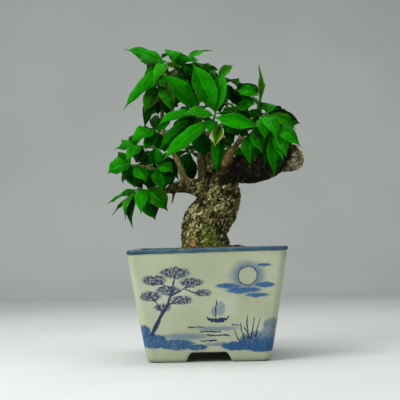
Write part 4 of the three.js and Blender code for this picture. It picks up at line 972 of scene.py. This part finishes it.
def paint_bark(g, look, here):
    x, _, z = here.parts()
    bark, furrow, pale, girth, dark = g.attributes("bark", "furrow", "pale", "girth", "dark")
    patch = g.noise(here, 0.11, 3)
    fine = g.noise(here, 1.3, 3)
    inside, chance = plates(g, here)
    crack_shade = inside.rise(0.12, 0.0)

    def near(centre, squeeze, far, close):
        return ((here - centre) * squeeze).length().rise(far, close)

    joint = near((12, -10, 129.5), (0.8, 0.4, 1.9), 15, 9)
    shaded = near((-3, -6, 142), (1.1, 0.5, 0.45), 7, 4).most(near((-20, -6, 119), (0.5, 0.5, 1), 6, 3))
    warm = near((16.5, -8, 142), (1, 0.5, 0.6), 8, 4)
    # The tone follows the bark's relief: painted shade in the furrows and the cracks, painted highlight on
    # the flakes' tops, and random tone
    level = 0.18 + bark * 0.55 + (chance - 0.5) * 0.42 + (fine - 0.5) * 0.8 + (patch - 0.5) * 0.5
    # dark is the painted shade of the limbs under the foliage
    level = level - crack_shade * 0.3 - dark * 0.36 - joint * 0.3
    stops = [(0.2, look.crevice_shade), (0.36, look.dark_bark_and_shade), (0.56, look.bark), (0.8, look.pale_bark_and_highlight)]
    colour = g.add("ShaderNodeValToRGB", {"stops": stops}, {"Fac": level})
    colour = g.mix(g.noise(here, 0.12, 3).rise(0.47, 0.6) * level.rise(0.5, 0.8) * 0.6, colour, look.lichen)
    colour = g.mix(g.noise(here, 0.27, 3).rise(0.55, 0.68) * (0.5 - dark * 0.4), colour, look.tan)
    smooth = g.mix(fine.rise(0.35, 0.65).most(warm * 0.8), look.twig_dark, look.twig)
    smooth = g.mix(g.noise(here, 0.3, 2).rise(0.5, 0.7) * 0.5, smooth, look.tan)
    smooth = g.mix(warm * 0.6, smooth, look.stain)
    smoothness = (pale * 0.95 + girth.rise(2.2, 1.2) * 0.7).least(1)
    colour = g.mix(smoothness * (0.55 + level.rise(0.35, 0.6) * 0.4), colour, smooth)
    colour = g.mix(shaded * 0.8, colour, look.dark_bark_and_shade)
    tuft = near((1, -12, 86), (1, 0.5, 0.7), 9, 3) + z.rise(90, 80) * 0.3
    tuft = tuft.least(1) * g.noise(here, 0.8, 3).rise(0.47, 0.56)
    colour = g.mix(tuft * 0.9, colour, g.mix(fine.rise(0.3, 0.7), look.moss, look.moss_pale))
    stain = near((-10.5, -12, 80), (1, 0.5, 0.7), 6, 2) * level.rise(0.3, 0.6)
    colour = g.mix(stain * 0.8, colour, look.stain)
    # painted shade in the knot's hollow
    colour = g.mix(near((KNOT[0], -15, KNOT[2]), (1, 0.6, 1), 5, 2.8), colour, look.crevice_shade)
    cut = (x - z * 0.6 + (g.noise(here, 0.2, 2) - 0.5) * 9).rise(-24.5, -21)
    rings = ((here * (0, 1, 1) - (0, -5, 143.6)).length() * 2.4).sin() * 0.5 + 0.5
    end_grain = g.mix(rings * fine * 1.4, look.cut_wood, look.tan)
    colour = g.mix(cut * (0.15 + bark.rise(0.4, 0.6) * 0.85), colour, end_grain)
    height = g.noise(here, 2.2, 4) + g.cells(here, 1.8) * 0.5 + bark * 0.5
    rough = 0.62 + (1 - furrow) * 0.2 + fine * 0.15
    return {"Base Color": colour, "Roughness": rough, "Normal": g.bump(height, 0.45, 0.8)}


# Leaves
BLADE = {"Size": 1, "Vertices_X": 14, "Vertices_Y": 5, "Vertices_Z": 2}
OPEN_LIGHT, SHADE_LOSS = 1.12, 0.75  # the light on a leaf, and what it loses to those before it
LIT_TINT = 0.85  # the tint of a leaf in full light


def build_leaves(g, given):
    """A blade on every leaf point, bent along its midrib, and the green stem that carries them."""
    plan = given["Geometry"]
    blade = g.geo("MeshCube", **BLADE)
    x, y, z = g.geo("InputPosition").parts()
    share = x + 0.5
    share = share * 0.5 + (1 - (share * math.pi).cos()) * 0.25
    blade = g.store(blade, along=share, across=y * 2, upper=z * 2)
    blade = g.geo("InstanceOnPoints", Points=plan, Selection=g.attribute("width") > 0, Instance=blade)
    blade = g.geo("RealizeInstances", Geometry=blade)
    u, v, upper, width, phase, twist = g.attributes("along", "across", "upper", "width", "phase", "twist")
    vectors = "root", "middle", "tip", "side"
    root, middle, tip, side = (g.attribute(name, "FLOAT_VECTOR") for name in vectors)
    rest = 1 - u
    centre = root * (rest * rest) + middle * (2 * u * rest) + tip * (u * u)
    tangent = ((middle - root) * rest + (tip - middle) * u).unit()
    normal = side.cross(tangent)
    turn = twist * (u - 0.4)
    across = side * turn.cos() + normal * turn.sin()
    normal = across.cross(tangent)
    t = ((u - given["Stalk"]) / (1 - given["Stalk"])).most(0).least(1)
    outline = (t ** 0.94 * math.pi).sin().most(0) ** 1.05 * (1.07 - 0.08 * t) * (1 - t.rise(0.74, 0.95) * 0.5)
    half = (width * 0.5 * outline).most(0.42 * (1 - t))
    out = abs(v)
    lift = out * half * given["Fold"] + out * out * half * -0.1
    ripple = (u * 13 + phase + v * 0.9).sin() + (u * 29 + phase * 3 - v).sin() * 0.35
    ripple = ripple * given["Wave"] * (0.35 + width * 0.065) * out * out * (t * math.pi).sin()
    thick = given["Thickness"] * (1 - out * 0.45) * (0.6 + 0.4 * (t * 12).least(1)) * 0.5
    midrib = (1 - out).rise(0.4, 1) * 0.12 * (1 - t)
    shape = across * (half * v) + normal * (lift + ripple + upper * (thick + midrib))
    blade = g.geo("SetPosition", Geometry=blade, Position=centre + shape * MM)
    stem = g.tubes(plan, 10, g.attribute("girth") * MM)
    stem = g.store(stem, along=0.0, across=0.0, upper=-2.0)
    both = g.geo("JoinGeometry", Geometry=[blade, stem])
    sharp = g.geo("InputMeshEdgeAngle") > 1.0
    both = g.geo("SetShadeSmooth", {"domain": "EDGE"}, Geometry=both, Selection=sharp, Shade_Smooth=False)
    return g.geo("SetMaterial", Geometry=both, Material=given["Leaf"])


def leaf_points(stem, twig, stem_tip, leaves):
    """A point for every leaf of the stem, then the green stem's own line, with all that the tree reads."""
    base, end = smooth_path(twig, 8)[-1, :3], seen(*stem_tip)
    way = unit(end - base)
    line = [base - way * 0.6, base + way * 0.4, (base + end) / 2, end + way * 1.2]
    girth = [twig[-1][3] * 0.95, twig[-1][3], 0.85, 0.55]
    names = "root", "middle", "tip", "side", "width", "phase", "twist", "tint", "young"
    rows = {name: [] for name in names}
    luck = np.random.default_rng([name for name, *_ in STEMS].index(stem) + 11)
    for leaf in leaves:
        middle, side = blade_frame(leaf)
        for name, value in (("root", leaf["root"]), ("middle", middle), ("tip", leaf["tip"])):
            rows[name].append((value + POT_CENTRE) * MM)
        rows["side"].append(side)
        rows["width"].append(leaf["width"])
        rows["phase"].append(luck.uniform(0, 6.28))
        rows["twist"].append(luck.uniform(-0.4, 0.4))
        # the leaf's painted shade, deeper on the shaded stems, with random tone added
        light = np.clip(OPEN_LIGHT - leaf["shade"] * SHADE_LOSS, 0, 1) * LIT_TINT - SHADED_STEMS.get(stem, 0)
        rows["tint"].append(light + luck.uniform(-0.12, 0.2))
        rows["young"].append(YOUNG_LEAVES.get((stem, leaf["k"]), luck.choice([0, 0, 0, 0.08])))
    first = len(leaves)
    edges = [(first + i, first + i + 1) for i in range(len(line) - 1)]
    obj = mesh_object("stem_" + stem + "_leaves", [leaf["root"] for leaf in leaves] + line, edges=edges)
    for name, values in rows.items():
        give(obj, name, values + [np.zeros_like(values[0])] * len(line))
    give(obj, "girth", [0] * first + girth)
    return obj


def paint_leaf(g, look, here):
    u, v, upper, tint, young = g.attributes("along", "across", "upper", "tint", "young")
    out = abs(v)
    broad = g.noise(here, 0.16, 2)
    fine = g.noise(here, 1.1, 2)
    vein = abs((u * 9 - out * 1.8 + (fine - 0.5) * 0.5).fract() - 0.5)
    side_vein = vein.rise(0.42, 0.5) * out.rise(0.05, 0.3) * out.rise(1, 0.8)
    midrib = out.rise(0.13, 0.05)
    # painted sheen: one half of each blade painted lighter as if lit, with pale streaks along the veins
    sheen = (v * 0.5 + 0.5 + (broad - 0.5) * 1.6).rise(0.2, 0.85) + (vein - 0.25) * 0.4
    # Painted shade and light: shaded leaves take the deep green and lit ones the fresh green, with random
    # tone and the painted sheen between
    colour = g.mix((tint * 0.8 + (sheen - 0.5) * 0.5).most(0).least(1), look.deep, look.fresh)
    colour = g.mix((side_vein * 0.2 + (fine - 0.5) * 0.2).most(0), colour, look.rib)
    colour = g.mix(young * out.rise(0.1, 0.55), colour, look.young)
    edge = (out.rise(0.66, 0.92) * (0.35 + young * 0.6) + u.rise(0.9, 1)).least(1) * (0.03 + young * 0.9)
    colour = g.mix(edge, colour, look.margin)
    colour = g.mix(midrib * (0.15 + tint * 0.35), colour, look.rib)
    below = upper.rise(0, -0.5)
    colour = g.mix(below * 0.75, colour, look.underside)
    stalk = (u.rise(0.09, 0.05) + upper.rise(-1.5, -1.8)).least(1)
    colour = g.mix(stalk * 0.7, colour, look.stalk_tone)
    height = g.noise(here, 0.35, 3) * 1.6 - side_vein * 0.7 - midrib * 0.8 * (1 - below)
    rough = look.roughness + (fine - 0.5) * 0.16 + below * 0.2
    return {"Base Color": colour, "Roughness": rough, "Normal": g.bump(height, 0.5, 0.8)}


# Drain screen
NET_SIZE, NET_LINES, NET_HEIGHT = 25.2 * MM, 9, 13.15
STRAND_SIDES, STRAND_RADIUS = 6, 0.4 * MM


def build_screen(g, given):
    """Crossing strands of a plastic net."""
    grid = g.geo("MeshGrid", Size_X=NET_SIZE, Size_Y=NET_SIZE, Vertices_X=NET_LINES, Vertices_Y=NET_LINES)
    net = g.tubes(grid, STRAND_SIDES, STRAND_RADIUS)
    place = tuple((POT_CENTRE + (0, 0, NET_HEIGHT)) * MM)
    net = g.geo("Transform", Geometry=net, Translation=place)
    net = g.geo("RealizeInstances", Geometry=g.geo("SetShadeSmooth", Geometry=net))
    return g.geo("SetMaterial", Geometry=net, Material=given["Plastic"])


def paint_plastic(g, look, here):
    grime = g.noise(here, 0.5, 3).rise(0.45, 0.7)
    return {"Base Color": g.mix(grime * 0.6, look.net, look.earth), "Roughness": 0.45 + grime * 0.4,
            "Normal": g.bump(g.noise(here, 2, 2), 0.2, 0.5)}


# Stage
FLOOR_REACH, FLOOR_END, BACKDROP_BEND, BACKDROP_TOP = 2600, 860, 340, 2600
LIGHTS = {  # place and size of each
    "key": ((-600, -540, 600), (600, 500)),
    "fill": ((620, -420, 300), (500, 600)),
    "top": ((0, 40, 800), (800, 600)),
}
LIGHTS_AIM = (0, 0, 110)
ROOM_COLOUR = (0.93, 0.97, 1, 1)
SENSOR_WIDTH, NEAREST = 36, 0.01


def paint_floor(g, look, here):
    mottle = g.noise(here, 0.004, 2)
    colour = g.mix(mottle.rise(0.35, 0.65), look.floor, look.floor_shade)
    return {"Base Color": colour, "Roughness": 0.75 + mottle * 0.1}


# What a user would change
def number(name, description, default, **more):
    limits = {"min": 0, **more}
    return bpy.props.FloatProperty(name=name, description=description, default=default, **limits)


def length(name, description, default):
    return number(name, description + ", in millimetres", default)


def power(name, description, default):
    return number(name, "Power of the " + description, default, unit="POWER")


def tone(name, description, *default):
    return bpy.props.FloatVectorProperty(name=name, description="Colour of " + description, default=default,
                                         size=3, min=0, max=1, subtype="COLOR")


class PotSettings(bpy.types.PropertyGroup):
    """Sizes of the pot in millimetres, and its colours"""
    rim_width: length("Rim width", "Width of the square rim", (POT_HIGH.x - POT_LOW.x) / MM)
    foot_width: length("Foot width", "Width at the ground", 85)
    height: length("Height", "Height of the pot", (POT_HIGH.z - POT_LOW.z) / MM)
    wall: length("Wall", "Thickness of the wall", 5.5)
    lip_height: length("Lip height", "Height of the band at the rim", 2.8)
    corner: length("Corner", "Radius of the upright corners", 6)
    dip: length("Dip", "How far the rim sinks at its left front corner", 1.6)
    floor_top: length("Floor", "Height of the floor inside", 12.4)
    base: length("Base", "Height of the underside between the feet", 6.9)
    arch_top: length("Arch top", "Width of the arches at their top", 26.4)
    arch_bottom: length("Arch bottom", "Width of the arches at the ground", 32.4)
    foot_wall: length("Foot wall", "Thickness of the feet", 7)
    drain_radius: length("Drain radius", "Radius of the drain hole", 8.5)
    glaze: tone("Glaze", "the glaze", 0.37, 0.405, 0.265)
    glaze_pale: tone("Pale glaze", "the glaze where it lies thick", 0.43, 0.46, 0.315)
    glaze_dark: tone("Specks", "the small specks", 0.25, 0.27, 0.16)
    glaze_white: tone("Slip", "the pale patches around the painting", 0.58, 0.62, 0.55)
    wash: tone("Wash", "the thin blue wash", 0.022, 0.105, 0.25)
    ink: tone("Ink", "the thick blue strokes", 0.002, 0.016, 0.085)
    band: tone("Band", "the painted rim", 0.03, 0.085, 0.125)
    foot: tone("Bare clay", "the rubbed lower edge", 0.26, 0.25, 0.13)


class SoilSettings(bpy.types.PropertyGroup):
    """The soil, its moss and the net under it"""
    crumbs: number("Crumbs", "Crumbs of soil per square metre", 150000)
    moss_tufts: number("Moss tufts", "Tufts of moss per square metre", 700000)
    earth: tone("Earth", "the crumbs", 0.10, 0.062, 0.032)
    earth_dark: tone("Dark earth", "the damp crumbs", 0.035, 0.023, 0.014)
    grit: tone("Grit", "the pale grains", 0.28, 0.24, 0.17)
    moss: tone("Moss", "the moss", 0.055, 0.085, 0.018)
    moss_pale: tone("Young moss", "the tips of the moss", 0.14, 0.19, 0.04)
    net: tone("Net", "the plastic net", 0.02, 0.022, 0.02)


class WoodSettings(bpy.types.PropertyGroup):
    """The trunk and the branches"""
    voxel: length("Voxel", "Size of the mesh's steps", 0.58)
    bark_depth: length("Bark depth", "Depth of the furrows on the trunk", 2.6)
    softening: bpy.props.IntProperty(name="Softening", description="How often the joins are smoothed",
                                     default=3, min=0)
    # The crevice and dark bark colours also carry painted shade, the pale bark painted highlight on the
    # flakes' tops
    crevice_shade: tone("Crevice", "the depths of the furrows", 0.004, 0.004, 0.001)
    dark_bark_and_shade: tone("Dark bark", "the furrows' sides", 0.032, 0.030, 0.006)
    bark: tone("Bark", "the flakes", 0.17, 0.165, 0.04)
    pale_bark_and_highlight: tone("Pale bark", "the flakes' tops", 0.60, 0.58, 0.30)
    lichen: tone("Lichen", "the yellow-green film", 0.24, 0.26, 0.05)
    tan: tone("Tan", "the bare brown places", 0.20, 0.125, 0.045)
    twig: tone("Twig", "the smooth young bark", 0.40, 0.32, 0.11)
    twig_dark: tone("Dark twig", "the marks in the young bark", 0.15, 0.11, 0.03)
    cut_wood: tone("Cut wood", "the cut end", 0.60, 0.58, 0.34)
    moss: tone("Moss", "the moss at the foot", 0.06, 0.12, 0.008)
    moss_pale: tone("Pale moss", "the tips of the moss", 0.36, 0.46, 0.05)
    stain: tone("Stain", "the rust brown bark at the root", 0.42, 0.20, 0.06)


class LeafSettings(bpy.types.PropertyGroup):
    """The leaves"""
    thickness: length("Thickness", "Thickness of a blade", 0.42)
    wave: length("Wave", "Height of the waves of a broad leaf's margins", 0.85)
    stalk: number("Stalk", "The stalk's share of a leaf", 0.05, max=0.5, subtype="FACTOR")
    roughness: number("Roughness", "Roughness of the upper side", 0.34, max=1, subtype="FACTOR")
    # The deep green also stands for painted shade on leaves that others shade, the fresh green for leaves in
    # full light
    deep: tone("Deep green", "the older leaves", 0.0002, 0.022, 0.0001)
    fresh: tone("Fresh green", "the younger leaves", 0.008, 0.225, 0.0008)
    young: tone("Young green", "the unfolding leaves", 0.11, 0.20, 0.006)
    margin: tone("Margin", "the tips and margins", 0.42, 0.52, 0.12)
    rib: tone("Rib", "the veins", 0.02, 0.28, 0.004)
    underside: tone("Underside", "the lower side", 0.008, 0.13, 0.002)
    stalk_tone: tone("Stalks", "the stalks", 0.05, 0.17, 0.01)


class StageSettings(bpy.types.PropertyGroup):
    """Floor, light and camera"""
    focal_length: number("Focal length", "The camera's, in millimetres", 92.7, min=1, unit="CAMERA")
    key: power("Key light", "large front light", 8.5)
    fill: power("Fill light", "side light", 0.5)
    top: power("Top light", "light above", 5)
    room: number("Room light", "Strength of the even light", 0.26)
    floor: tone("Floor", "the floor and the backdrop", 0.60, 0.625, 0.60)
    floor_shade: tone("Floor shade", "their slightly darker places", 0.565, 0.59, 0.565)


class BONSAI_OT_pot(bpy.types.Operator):
    """Makes the square pot with its glaze and its painting"""
    bl_idname = "bonsai.pot"
    bl_label = "Pot"

    def execute(self, context):
        settings = context.scene.bonsai_pot
        points, faces, panel = pot_mesh(settings)
        pot = mesh_object("glazed_pot", points, faces)
        layer = pot.data.uv_layers.new(name="panel")
        layer.data.foreach_set("uv", np.array(panel, np.float32).ravel())
        pot.data.shade_smooth()
        glaze = material("celadon_glaze", paint_pot, settings, Coat_Weight=0.15, Coat_Roughness=0.06,
                         Specular_IOR_Level=0.25)
        keep(pot, "pot", "glaze", glaze)
        return {"FINISHED"}


class BONSAI_OT_soil(bpy.types.Operator):
    """Fills the pot with crumbly soil and moss"""
    bl_idname = "bonsai.soil"
    bl_label = "Soil"

    def execute(self, context):
        settings = context.scene.bonsai_soil
        soil = mesh_object("soil_and_moss", *soil_mesh(context.scene.bonsai_pot))
        values = {"Crumbs": settings.crumbs, "Moss": settings.moss_tufts,
                  "Earth": material("crumbly_earth", paint_earth, settings),
                  "Moss look": material("moss", paint_moss, settings)}
        grow(soil, geometry_tree("soil_crumbs", values, build_soil), values)
        keep(settle(soil), "soil", "earth")
        return {"FINISHED"}


class BONSAI_OT_screen(bpy.types.Operator):
    """Makes the net that lies over the drain hole"""
    bl_idname = "bonsai.screen"
    bl_label = "Drain screen"

    def execute(self, context):
        screen = mesh_object("drain_net", [(0, 0, 13)])
        values = {"Plastic": material("dark_plastic", paint_plastic, context.scene.bonsai_soil)}
        grow(screen, geometry_tree("net_strands", values, build_screen), values)
        keep(settle(screen), "drain_screen", "mesh")
        return {"FINISHED"}


class BONSAI_OT_trunk(bpy.types.Operator):
    """Makes the trunk and the branches with their bark"""
    bl_idname = "bonsai.trunk"
    bl_label = "Trunk and branches"

    def execute(self, context):
        settings = context.scene.bonsai_wood
        points, edges, girth, pale, dark = wood_lines()
        wood = mesh_object("bark_and_branches", points, edges=edges)
        give(wood, "girth", girth)
        grow(wood, geometry_tree("limbs", {}, build_limbs), {})
        joined = wood.modifiers.new("joined", "REMESH")
        joined.mode = "VOXEL"
        joined.voxel_size = settings.voxel * MM
        share_out(settle(wood), points, girth, {"girth": girth, "pale": pale, "dark": dark})
        values = {"Softening": settings.softening, "Bark depth": settings.bark_depth,
                  "Bark": material("flaky_bark", paint_bark, settings, Specular_IOR_Level=0.15)}
        grow(wood, geometry_tree("bark", values, build_bark), values)
        keep(settle(wood), "trunk", "bark")
        return {"FINISHED"}


class BONSAI_OT_leaves(bpy.types.Operator):
    """Makes the leafy stems, each in place of its own solid"""
    bl_idname = "bonsai.leaves"
    bl_label = "Leafy stems"

    def execute(self, context):
        settings = context.scene.bonsai_leaves
        leaves = placed_leaves()
        look = material("glossy_leaf", paint_leaf, settings, Specular_IOR_Level=0.015,
                        Specular_Tint=(0.3, 1, 0.12))
        values = {"Stalk": settings.stalk, "Fold": FOLD, "Wave": settings.wave,
                  "Thickness": settings.thickness, "Leaf": look}
        tree = geometry_tree("leaf_blades", values, build_leaves)
        for stem, twig, stem_tip, _ in STEMS:
            piece = leaf_points(stem, twig, stem_tip, [leaf for leaf in leaves if leaf["stem"] == stem])
            grow(piece, tree, values)
            keep(settle(piece), "stem_" + stem, "leaf")
        return {"FINISHED"}


class BONSAI_OT_stage(bpy.types.Operator):
    """Lays the floor and the backdrop, and sets the lights and the camera"""
    bl_idname = "bonsai.stage"
    bl_label = "Stage"

    def execute(self, context):
        settings = context.scene.bonsai_stage
        profile = [(-FLOOR_REACH, 0), (FLOOR_END, 0)]
        for a in np.radians(np.arange(5, 91, 5)):
            profile.append((FLOOR_END + BACKDROP_BEND * math.sin(a), BACKDROP_BEND * (1 - math.cos(a))))
        profile.append((FLOOR_END + BACKDROP_BEND, BACKDROP_TOP))
        points = [(x, y, z) for y, z in profile for x in (-FLOOR_REACH, FLOOR_REACH)]
        faces = [(2 * i, 2 * i + 1, 2 * i + 3, 2 * i + 2) for i in range(len(profile) - 1)]
        floor = mesh_object("floor_and_backdrop", points, faces)
        floor.data.shade_smooth()
        floor.data.materials.append(material("pale_floor", paint_floor, settings))

        def in_scene(place):
            return Vector((np.array(place) + POT_CENTRE) * MM)

        for name, (place, (width, height)) in LIGHTS.items():
            lamp = bpy.data.lights.new(name + "_light", "AREA")
            lamp.shape = "RECTANGLE"
            lamp.size, lamp.size_y = width * MM, height * MM
            lamp.energy = getattr(settings, name)
            obj = bpy.data.objects.new(name + "_light", lamp)
            obj.location = in_scene(place)
            obj.rotation_mode = "QUATERNION"
            obj.rotation_quaternion = (in_scene(LIGHTS_AIM) - in_scene(place)).to_track_quat("-Z", "Y")
            context.scene.collection.objects.link(obj)
        world = bpy.data.worlds.new("room")
        world.use_nodes = True
        background = world.node_tree.nodes["Background"].inputs
        background["Color"].default_value = ROOM_COLOUR
        background["Strength"].default_value = settings.room
        context.scene.world = world
        context.scene.view_settings.view_transform = "Standard"

        pan, tilt, roll = (math.radians(a) for a in CAMERA_TURN)
        ahead = Vector((-math.sin(pan) * math.cos(tilt), math.cos(pan) * math.cos(tilt), math.sin(tilt)))
        right = ahead.cross((0, 0, 1)).normalized()
        above = right.cross(ahead)
        across = right * math.cos(roll) - above * math.sin(roll)
        upward = right * math.sin(roll) + above * math.cos(roll)
        camera = bpy.data.objects.new("camera", bpy.data.cameras.new("camera"))
        camera.data.lens = settings.focal_length
        camera.data.sensor_width = SENSOR_WIDTH
        camera.data.clip_start = NEAREST
        turn = Matrix((across, upward, -ahead)).transposed()
        camera.matrix_world = Matrix.Translation(in_scene(CAMERA_PLACE)) @ turn.to_4x4()
        context.scene.collection.objects.link(camera)
        context.scene.camera = camera
        return {"FINISHED"}


class BONSAI_PT_panel(bpy.types.Panel):
    """Lists the pieces and what can be changed about them"""
    bl_idname = "BONSAI_PT_panel"
    bl_label = "Burning Bush Bonsai"
    bl_space_type = "VIEW_3D"
    bl_region_type = "UI"
    bl_category = "Bonsai"

    def draw(self, context):
        for operator, name in PIECES:
            box = self.layout.box()
            box.operator(operator.bl_idname)
            settings = getattr(context.scene, name)
            for prop in settings.bl_rna.properties:
                if prop.identifier in type(settings).__annotations__:
                    box.prop(settings, prop.identifier)


SETTINGS = {"bonsai_pot": PotSettings, "bonsai_soil": SoilSettings, "bonsai_wood": WoodSettings,
            "bonsai_leaves": LeafSettings, "bonsai_stage": StageSettings}
PIECES = [(BONSAI_OT_pot, "bonsai_pot"), (BONSAI_OT_soil, "bonsai_soil"), (BONSAI_OT_screen, "bonsai_soil"),
          (BONSAI_OT_trunk, "bonsai_wood"), (BONSAI_OT_leaves, "bonsai_leaves"),
          (BONSAI_OT_stage, "bonsai_stage")]
CLASSES = [*SETTINGS.values(), *[operator for operator, _ in PIECES], BONSAI_PT_panel]


def register():
    for one in CLASSES:
        bpy.utils.register_class(one)
    for name, kind in SETTINGS.items():
        setattr(bpy.types.Scene, name, bpy.props.PointerProperty(type=kind))


def unregister():
    for name in SETTINGS:
        delattr(bpy.types.Scene, name)
    for one in reversed(CLASSES):
        bpy.utils.unregister_class(one)


def main():
    register()
    bpy.ops.bonsai.pot()
    bpy.ops.bonsai.soil()
    bpy.ops.bonsai.screen()
    bpy.ops.bonsai.trunk()
    bpy.ops.bonsai.leaves()
    bpy.ops.bonsai.stage()


if __name__ == "__main__":
    main()
